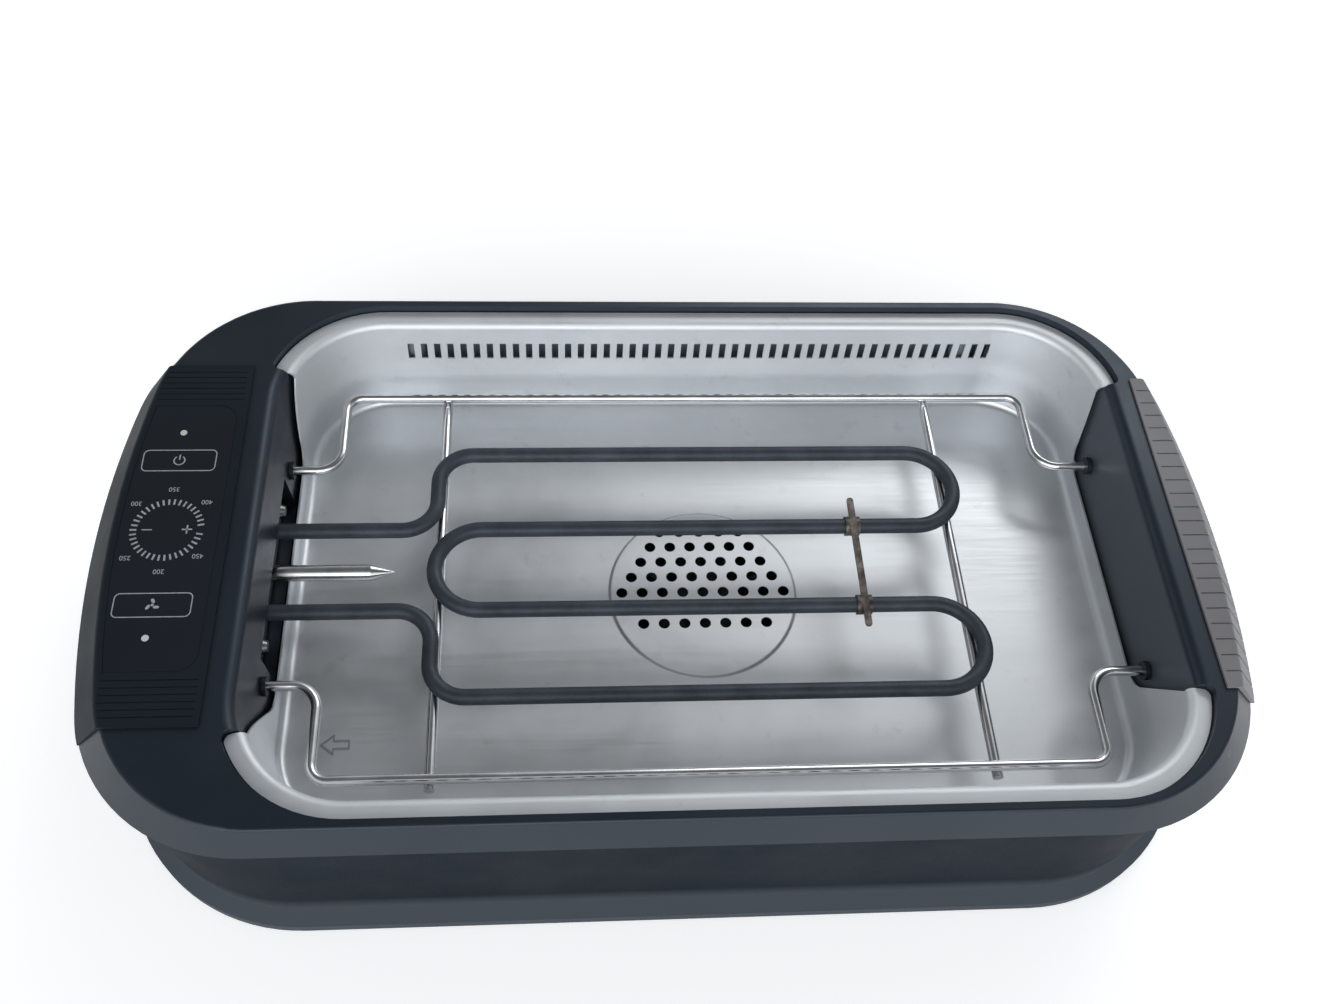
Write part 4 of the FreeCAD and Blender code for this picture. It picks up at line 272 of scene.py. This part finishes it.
def make_camera():
    data = bpy.data.cameras.new("camera")
    data.sensor_fit = "HORIZONTAL"
    data.sensor_width = SENSOR
    data.lens = SENSOR * FOCAL_PX / PHOTO_WIDTH
    data.shift_x = (PHOTO_WIDTH / 2 - CENTRE_PX[0]) / PHOTO_WIDTH
    data.shift_y = (CENTRE_PX[1] - PHOTO_HEIGHT / 2) / PHOTO_WIDTH
    data.clip_start = CLIP_START
    data.clip_end = CLIP_END
    camera = add_object("camera", data)
    right, up, forward = camera_axes()
    turn = Matrix((right, up, -forward)).transposed().to_4x4()
    camera.matrix_world = Matrix.Translation(Vector(CAMERA_MM) * MM) @ turn
    bpy.context.scene.camera = camera


def make_lamps():
    for name, place, target, size, power in LAMPS:
        data = bpy.data.lights.new(name, "AREA")
        data.shape = "RECTANGLE"
        data.size, data.size_y = size
        data.energy = power
        lamp = add_object(name, data)
        lamp.location = place
        towards = Vector(target) - Vector(place)
        lamp.rotation_euler = towards.to_track_quat("-Z", "Y").to_euler()


def make_world():
    """Studio dome: pale at the horizon, softer overhead, a wide glow behind and one in front."""
    world = bpy.data.worlds.new("world")
    bpy.context.scene.world = world
    world.use_nodes = True
    sky = Tree(world.node_tree)
    sky.tree.nodes.clear()
    out = sky.node("ShaderNodeOutputWorld")
    background = sky.node("ShaderNodeBackground")
    sky.put(DOME_COLOR, background.inputs["Color"])
    direction = sky.node("ShaderNodeTexCoord").outputs["Generated"]
    height = sky.axes(direction)["Z"]
    level = sky.span(height, DOME_HORIZON, DOME_TOP, *DOME_STEP, "SMOOTHSTEP")
    for towards, cosines, strength in (REAR_GLOW, FRONT_GLOW):
        nearness = sky.node("ShaderNodeVectorMath", operation="DOT_PRODUCT")
        nearness.inputs[1].default_value = towards
        sky.link(direction, nearness.inputs[0])
        glow = sky.span(nearness.outputs["Value"], 0.0, strength, *cosines, "SMOOTHSTEP")
        level = sky.add(level, glow)
    backdrop = sky.span(height, 1.0, 0.0, *BACKDROP_STEP, "SMOOTHSTEP")
    shown = sky.node("ShaderNodeMix")
    sky.link(sky.times(backdrop, sky.seen_ray()), shown.inputs["Factor"])
    sky.link(level, shown.inputs["A"])
    shown.inputs["B"].default_value = BACKDROP
    sky.link(shown.outputs["Result"], background.inputs["Strength"])
    sky.link(background.outputs[0], out.inputs["Surface"])


def make_floor():
    mesh = bpy.data.meshes.new("floor")
    corners = [(x * FLOOR_HALF, y * FLOOR_HALF, 0) for x, y in ((-1, -1), (1, -1), (1, 1), (-1, 1))]
    mesh.from_pydata(corners, [], [(0, 1, 2, 3)])
    floor = add_object("floor", mesh)
    shader = Shader("pale_floor")
    shader.set(color=FLOOR_COLOR, roughness=1.0, specular=0.0, glow=(1.0, 1.0, 1.0),
               glow_strength=shader.times(shader.seen_ray(), FLOOR_LIFT))
    mesh.materials.append(shader.material)


# ---------------------------------------------------------------- materials
def plastic(name, dark, light, rough, grain=2600.0, bump=0.25, specular=0.30, inner=None,
            foot=None, painted_light_end=None):
    """Moulded plastic: slow change of tone, fine pebbled grain, uneven sheen.

    grain is the scale of the pebbles. inner is the colour of the paler faces inside the housing,
    seen through the tray's slots.
    foot is a painted sheen: the lowest edge made lighter, standing in for a reflection. The last
    colour is painted light: the end wall beside the grip made lighter, as where light falls on it.
    """
    shader = Shader(name)
    tone = shader.tones(shader.noise(9.0), dark, light)
    # Paler faces inside the housing, seen through the tray's slots.
    if inner:
        hidden = shader.times(shader.inside(INNER_HALF), shader.step(*INNER_STEP))
        tone = shader.mix(hidden, tone, inner)
    # Painted light: the end wall of the bath beside the grip made lighter, as where light falls on
    # it.
    if painted_light_end:
        beside = shader.times(*(shader.step(*levels, "X") for levels in PAINTED_LIGHT_END_X_STEPS),
                              shader.step(*PAINTED_LIGHT_END_TOP_STEP), shader.inside(PAINTED_LIGHT_END_HALF))
        tone = shader.mix(beside, tone, painted_light_end)
    # Painted sheen: the lowest edge made lighter, standing in for a reflection.
    if foot:
        tone = shader.mix(shader.step(*FOOT_SHEEN_STEP), tone, foot)
    fine = shader.noise(grain, detail=2.0)
    sheen = shader.span(shader.noise(22.0), -0.05, 0.05)
    shader.set(color=tone, specular=specular, tint=PLASTIC_TINT,
               roughness=shader.add(sheen, shader.span(fine, rough - 0.05, rough + 0.05)))
    shader.bump(fine, bump, distance=0.00006)
    return shader.material


def stainless():
    """Cold-rolled sheet: fine rolling lines along X, cloudy patches, dull marks, satin walls."""
    shader = Shader("tray_steel")
    wall = shader.step(*WALL_STEP)
    flange = shader.step(*FLANGE_STEP)
    lines = shader.noise(900.0, detail=3.0, stretch=(0.03, 1.0, 1.0))
    cloud = shader.noise(14.0, detail=5.0, rough=0.6, distortion=0.4)
    marks = shader.noise(70.0, detail=6.0, rough=0.7)
    tone = shader.tones(cloud, (0.67, 0.69, 0.71), (0.76, 0.78, 0.80))
    dulled = shader.span(marks, 0.0, 0.3, first=0.60, last=0.74)
    tone = shader.mix(dulled, tone, (0.42, 0.42, 0.43))
    # Painted shade: a darker band on the edges of the pressed disc and the arrow.
    painted_edge_shade = shader.times(*(shader.step(*levels) for levels in PAINTED_EDGE_SHADE_STEPS))
    tone = shader.mix(shader.times(painted_edge_shade, shader.inside(PAINTED_EDGE_SHADE_HALF)), tone, (0.40, 0.41, 0.43))
    polish = shader.add(shader.span(lines, -0.03, 0.03), shader.span(cloud, 0.39, 0.49),
                        shader.span(flange, 0.0, 0.15, first=0.0, last=1.0))
    metallic = shader.add(shader.span(wall, 1.0, 0.50, first=0.0, last=1.0),
                          shader.span(flange, 0.0, 0.30, first=0.0, last=1.0))
    shader.set(color=tone, roughness=polish, metallic=metallic)
    shader.bump(lines, 0.06, distance=0.00003)
    return shader.material


def metal(name, dark, light, rough, scale=60.0):
    """Plain metal with a cloudy tone and uneven polish; scale is that of the clouds."""
    shader = Shader(name)
    cloud = shader.noise(scale, detail=5.0, rough=0.6)
    shader.set(color=shader.tones(cloud, dark, light), metallic=1.0,
               roughness=shader.span(cloud, rough - 0.06, rough + 0.06))
    shader.bump(shader.noise(scale * 20, detail=3.0), 0.1, distance=0.00004)
    return shader.material


def sheath():
    """Oxidised sheath of the heating tube: near black, matt, slightly mottled."""
    shader = Shader("element_sheath")
    cloud = shader.noise(45.0, detail=6.0, rough=0.65)
    fine = shader.noise(900.0, detail=4.0, rough=0.6)
    shader.set(color=shader.tones(cloud, (0.028, 0.036, 0.046), (0.052, 0.062, 0.076)),
               roughness=shader.span(fine, 0.42, 0.58), metallic=0.35, specular=0.4)
    shader.bump(fine, 0.35, distance=0.00008)
    return shader.material


def heat_tint():
    """Thin steel strip browned by heat."""
    shader = Shader("clip_steel")
    cloud = shader.noise(160.0, detail=6.0, rough=0.7)
    browns = ((0.35, (0.040, 0.034, 0.031)), (0.5, (0.095, 0.080, 0.070)),
              (0.68, (0.24, 0.21, 0.185)))
    shader.set(color=shader.ramp(cloud, browns), roughness=shader.span(cloud, 0.35, 0.55),
               metallic=0.7)
    shader.bump(cloud, 0.4, distance=0.0001)
    return shader.material


def ink():
    """Printed white: slightly uneven cover."""
    shader = Shader("print_white")
    shader.set(color=shader.tones(shader.noise(700.0), (0.27, 0.285, 0.31), (0.37, 0.385, 0.41)),
               roughness=0.6)
    return shader.material


def ceramic():
    """Unglazed ceramic of the bushes round the tube's ends and the probe."""
    shader = Shader("ceramic")
    fine = shader.noise(500.0)
    shader.set(color=shader.tones(fine, (0.62, 0.58, 0.50), (0.72, 0.69, 0.62)),
               roughness=shader.span(fine, 0.4, 0.55), specular=0.5)
    shader.bump(fine, 0.2, distance=0.0001)
    return shader.material


def board():
    """Circuit board: green lacquer over a faint pattern of tracks."""
    shader = Shader("circuit_board")
    tracks = shader.node("ShaderNodeTexBrick")
    tracks.inputs["Scale"].default_value = 90.0
    tracks.inputs["Mortar Size"].default_value = 0.03
    shader.link(shader.place, tracks.inputs["Vector"])
    shader.set(color=shader.mix(tracks.outputs["Fac"], (0.02, 0.11, 0.05), (0.04, 0.20, 0.09)),
               roughness=shader.span(shader.noise(200.0), 0.3, 0.45), specular=0.5)
    return shader.material


def dress(material, *names):
    for name in names:
        slots = NODES[name].data.materials
        slots.clear()
        slots.append(material)


def dress_outside():
    """Plastic pieces that are seen from above."""
    # The rim's last colour is painted light on the end wall beside the grip.
    dress(plastic("rim_plastic", *SHELL_TONES, 0.38, specular=0.5, painted_light_end=(0.060, 0.072, 0.085)),
          "upper_rim")
    # The base's foot colour is a painted sheen on its lowest edge, standing in for a reflection.
    dress(plastic("base_plastic", *SHELL_TONES, 0.60, specular=0.05, inner=(0.30, 0.36, 0.42),
                  foot=(0.058, 0.067, 0.080)), "lower_base")
    dress(plastic("panel_plastic", (0.0075, 0.0112, 0.0155), (0.0105, 0.0148, 0.0200), 0.56,
                  specular=0.16), "control_panel")
    dress(plastic("overlay_film", (0.0065, 0.0085, 0.0122), (0.0086, 0.0110, 0.0155), 0.55,
                  grain=1800.0, bump=0.12, specular=0.25), "touch_overlay")
    dress(plastic("grip_plastic", (0.168, 0.161, 0.163), (0.214, 0.205, 0.208), 0.48),
          "grip_cover")
    dress(plastic("bush_plastic", (0.010, 0.014, 0.019), (0.014, 0.018, 0.024), 0.5),
          "rack_bushes")
    dress(plastic("lens_plastic", (0.50, 0.50, 0.49), (0.62, 0.62, 0.60), 0.25,
                  grain=900.0, bump=0.05), "lamp_lens_power", "lamp_lens_fan")


def dress_metal():
    """Metal pieces, and the ceramic bushes."""
    dress(stainless(), "tray_liner")
    dress(sheath(), "heating_element")
    dress(metal("rack_wire_steel", (0.60, 0.60, 0.61), (0.74, 0.74, 0.75), 0.16),
          "rack_wire_rear", "rack_wire_front", "rack_cross_left", "rack_cross_right")
    dress(heat_tint(), "element_clip")
    dress(metal("bright_steel", (0.52, 0.52, 0.53), (0.66, 0.66, 0.66), 0.22),
          "thermostat_probe", "fan_shaft", "case_screws", "shield_screws", "board_screws")
    # Darker steel for the flange and bracket screws.
    dress(metal("dark_screw_steel", (0.16, 0.17, 0.18), (0.26, 0.27, 0.28), 0.34),
          "flange_screws", "bracket_screws")
    dress(metal("zinc_sheet", (0.38, 0.39, 0.40), (0.50, 0.51, 0.52), 0.38, scale=25.0),
          "element_flange", "motor_bracket", "heat_shield", "fan_motor",
          "lead_terminal_rear", "lead_terminal_front")
    dress(ceramic(), "lead_bush_rear", "lead_bush_front", "probe_bush")


def dress_inside():
    """Fan, seal, boards, feet and cord gland."""
    dress(plastic("inner_plastic", (0.016, 0.016, 0.018), (0.026, 0.026, 0.029), 0.45),
          "fan_impeller", "fan_guard", "fan_cover")
    dress(plastic("seal_silicone", (0.20, 0.045, 0.03), (0.26, 0.06, 0.04), 0.55), "tray_seal")
    dress(board(), "power_board", "touch_board")
    dress(plastic("relay_case", (0.012, 0.03, 0.10), (0.02, 0.045, 0.14), 0.3), "power_relay")
    dress(plastic("coil_tape", (0.35, 0.25, 0.03), (0.45, 0.33, 0.05), 0.45),
          "power_transformer")
    dress(plastic("block_plastic", (0.02, 0.10, 0.04), (0.03, 0.14, 0.05), 0.4),
          "terminal_block")
    dress(plastic("capacitor_sleeve", (0.01, 0.015, 0.05), (0.015, 0.02, 0.07), 0.3),
          "power_capacitor")
    dress(plastic("foot_rubber", (0.012, 0.012, 0.012), (0.022, 0.022, 0.022), 0.75,
                  grain=900.0, bump=0.4),
          "foot_front_left", "foot_rear_left", "foot_front_right", "foot_rear_right", "cord_gland")


def smooth_nodes():
    """Smooth shading across the small angles of the curved CAD faces."""
    for node in NODES.values():
        for polygon in node.data.polygons:
            polygon.use_smooth = True
        node.data.set_sharp_from_angle(angle=SHARP_ANGLE)


# ---------------------------------------------------------------- print of the panel
def polar(middle, radius, angle):
    """The point at a radius and an angle in radians from a middle."""
    return middle[0] + radius * math.cos(angle), middle[1] + radius * math.sin(angle)


class Print:
    """Flat inked shapes that stand a hair above the overlay."""

    def __init__(self, name):
        self.name = name
        self.mesh = bmesh.new()
        self.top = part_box("touch_overlay")[1][2] / MM + INK_RISE

    def corner(self, x, y):
        return self.mesh.verts.new((x * MM, y * MM, self.top * MM))

    def polygon(self, points):
        self.mesh.faces.new([self.corner(x, y) for x, y in points])

    def bar(self, start, end, width):
        """A straight stroke from start to end."""
        (x1, y1), (x2, y2) = start, end
        along = Vector((x2 - x1, y2 - y1)).normalized()
        side = Vector((-along.y, along.x)) * width / 2
        self.polygon([(x1 - side.x, y1 - side.y), (x2 - side.x, y2 - side.y),
                      (x2 + side.x, y2 + side.y), (x1 + side.x, y1 + side.y)])

    def strip(self, points, width, closed=False):
        """A band of even width along a list of points."""
        points = [Vector(p) for p in points]
        count = len(points)
        left, right = [], []
        for index, here in enumerate(points):
            before = points[(index - 1) % count] if closed or index else here
            after = points[(index + 1) % count] if closed or index < count - 1 else here
            along = (after - before).normalized()
            side = Vector((-along.y, along.x)) * width / 2
            left.append(self.corner(here.x + side.x, here.y + side.y))
            right.append(self.corner(here.x - side.x, here.y - side.y))
        for index in range(count if closed else count - 1):
            following = (index + 1) % count
            self.mesh.faces.new((left[index], right[index], right[following], left[following]))

    def arc(self, middle, radius, first, last, width, steps=24):
        """An open arc between two angles in degrees."""
        angles = [math.radians(first + (last - first) * k / steps) for k in range(steps + 1)]
        self.strip([polar(middle, radius, angle) for angle in angles], width)

    def disc(self, middle, radius, steps=24):
        self.polygon([polar(middle, radius, math.tau * k / steps) for k in range(steps)])

    def finish(self, material):
        bmesh.ops.recalc_face_normals(self.mesh, faces=self.mesh.faces)
        data = bpy.data.meshes.new(self.name)
        self.mesh.to_mesh(data)
        self.mesh.free()
        data.materials.append(material)
        piece = add_object(self.name, data)
        thick = piece.modifiers.new("thickness", "SOLIDIFY")
        thick.thickness = INK_THICK * MM
        thick.offset = 1.0
        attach(piece, "housing")


def rounded_box(middle, half, corner, steps=6):
    """Outline of a box with rounded corners, as a list of points."""
    points = []
    for side_x, side_y, start in ((1, 1, 0), (-1, 1, 90), (-1, -1, 180), (1, -1, 270)):
        centre = (middle[0] + side_x * (half[0] - corner), middle[1] + side_y * (half[1] - corner))
        points += [polar(centre, corner, math.radians(start + 90 * k / steps))
                   for k in range(steps + 1)]
    return points


def make_dial(material):
    """Ring of ticks without the one beside the plus sign, and the minus and plus signs."""
    printed = Print("print_dial")
    for tick in range(1, TICK_COUNT):
        angle = math.tau * tick / TICK_COUNT
        printed.bar(polar(DIAL, TICK_INNER, angle), polar(DIAL, TICK_OUTER, angle), TICK_WIDTH)
    x, y = DIAL
    for sign, width in ((-SIGN_OFFSET, MINUS_WIDTH), (SIGN_OFFSET, PLUS_WIDTH)):
        printed.bar((x + sign - SIGN_ARM, y), (x + sign + SIGN_ARM, y), width)
    printed.bar((x + SIGN_OFFSET, y - SIGN_ARM), (x + SIGN_OFFSET, y + SIGN_ARM), PLUS_WIDTH)
    printed.finish(material)


def make_keys(material):
    """Outlines of the two touch keys, with a power sign and a fan sign."""
    for name, y, draw in (("print_key_power", KEY_Y, draw_power),
                          ("print_key_fan", -KEY_Y, draw_fan)):
        printed = Print(name)
        middle = (KEY_X, y)
        printed.strip(rounded_box(middle, KEY_HALF, KEY_CORNER), KEY_WIDTH, closed=True)
        draw(printed, middle)
        printed.finish(material)


def draw_power(printed, middle):
    """A ring with a gap, and a stroke in the gap."""
    printed.arc(middle, POWER_RADIUS, *POWER_TURN, POWER_WIDTH)
    x, y = middle
    printed.bar((x, y + POWER_STROKE[0]), (x, y + POWER_STROKE[1]), POWER_WIDTH)


def draw_fan(printed, middle):
    """A hub with three oval blades, each twisted from its radius."""
    printed.disc(middle, HUB_RADIUS)
    for degrees in BLADE_TURNS:
        turn = math.radians(degrees)
        x, y = polar(middle, BLADE_RADIUS, turn)
        cos, sin = math.cos(turn + BLADE_TWIST), math.sin(turn + BLADE_TWIST)
        points = []
        for k in range(BLADE_POINTS):
            angle = math.tau * k / BLADE_POINTS
            along, across = BLADE_HALF[0] * math.cos(angle), BLADE_HALF[1] * math.sin(angle)
            points.append((x + along * cos - across * sin, y + along * sin + across * cos))
        printed.polygon(points)


def make_numbers(material):
    """Plain numbers round the dial."""
    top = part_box("touch_overlay")[1][2]
    for number, (dx, dy) in NUMBERS.items():
        name = "dial_number_%d" % number
        data = bpy.data.curves.new(name, "FONT")
        data.body = str(number)
        data.size = NUMBER_SIZE * MM
        data.align_x, data.align_y = "CENTER", "CENTER"
        data.extrude = INK_THICK / 2 * MM
        data.materials.append(material)
        piece = add_object(name, data)
        piece.location = ((DIAL[0] + dx) * MM, (DIAL[1] + dy) * MM,
                          top + (INK_RISE + INK_THICK / 2) * MM)
        piece.rotation_euler = (0.0, 0.0, math.pi)
        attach(piece, "housing")


def make_print():
    material = ink()
    make_dial(material)
    make_keys(material)
    make_numbers(material)


# ---------------------------------------------------------------- scene
bpy.context.scene.view_settings.view_transform = "Standard"
make_camera()
make_world()
make_lamps()
make_floor()
smooth_nodes()
dress_outside()
dress_metal()
dress_inside()
make_print()
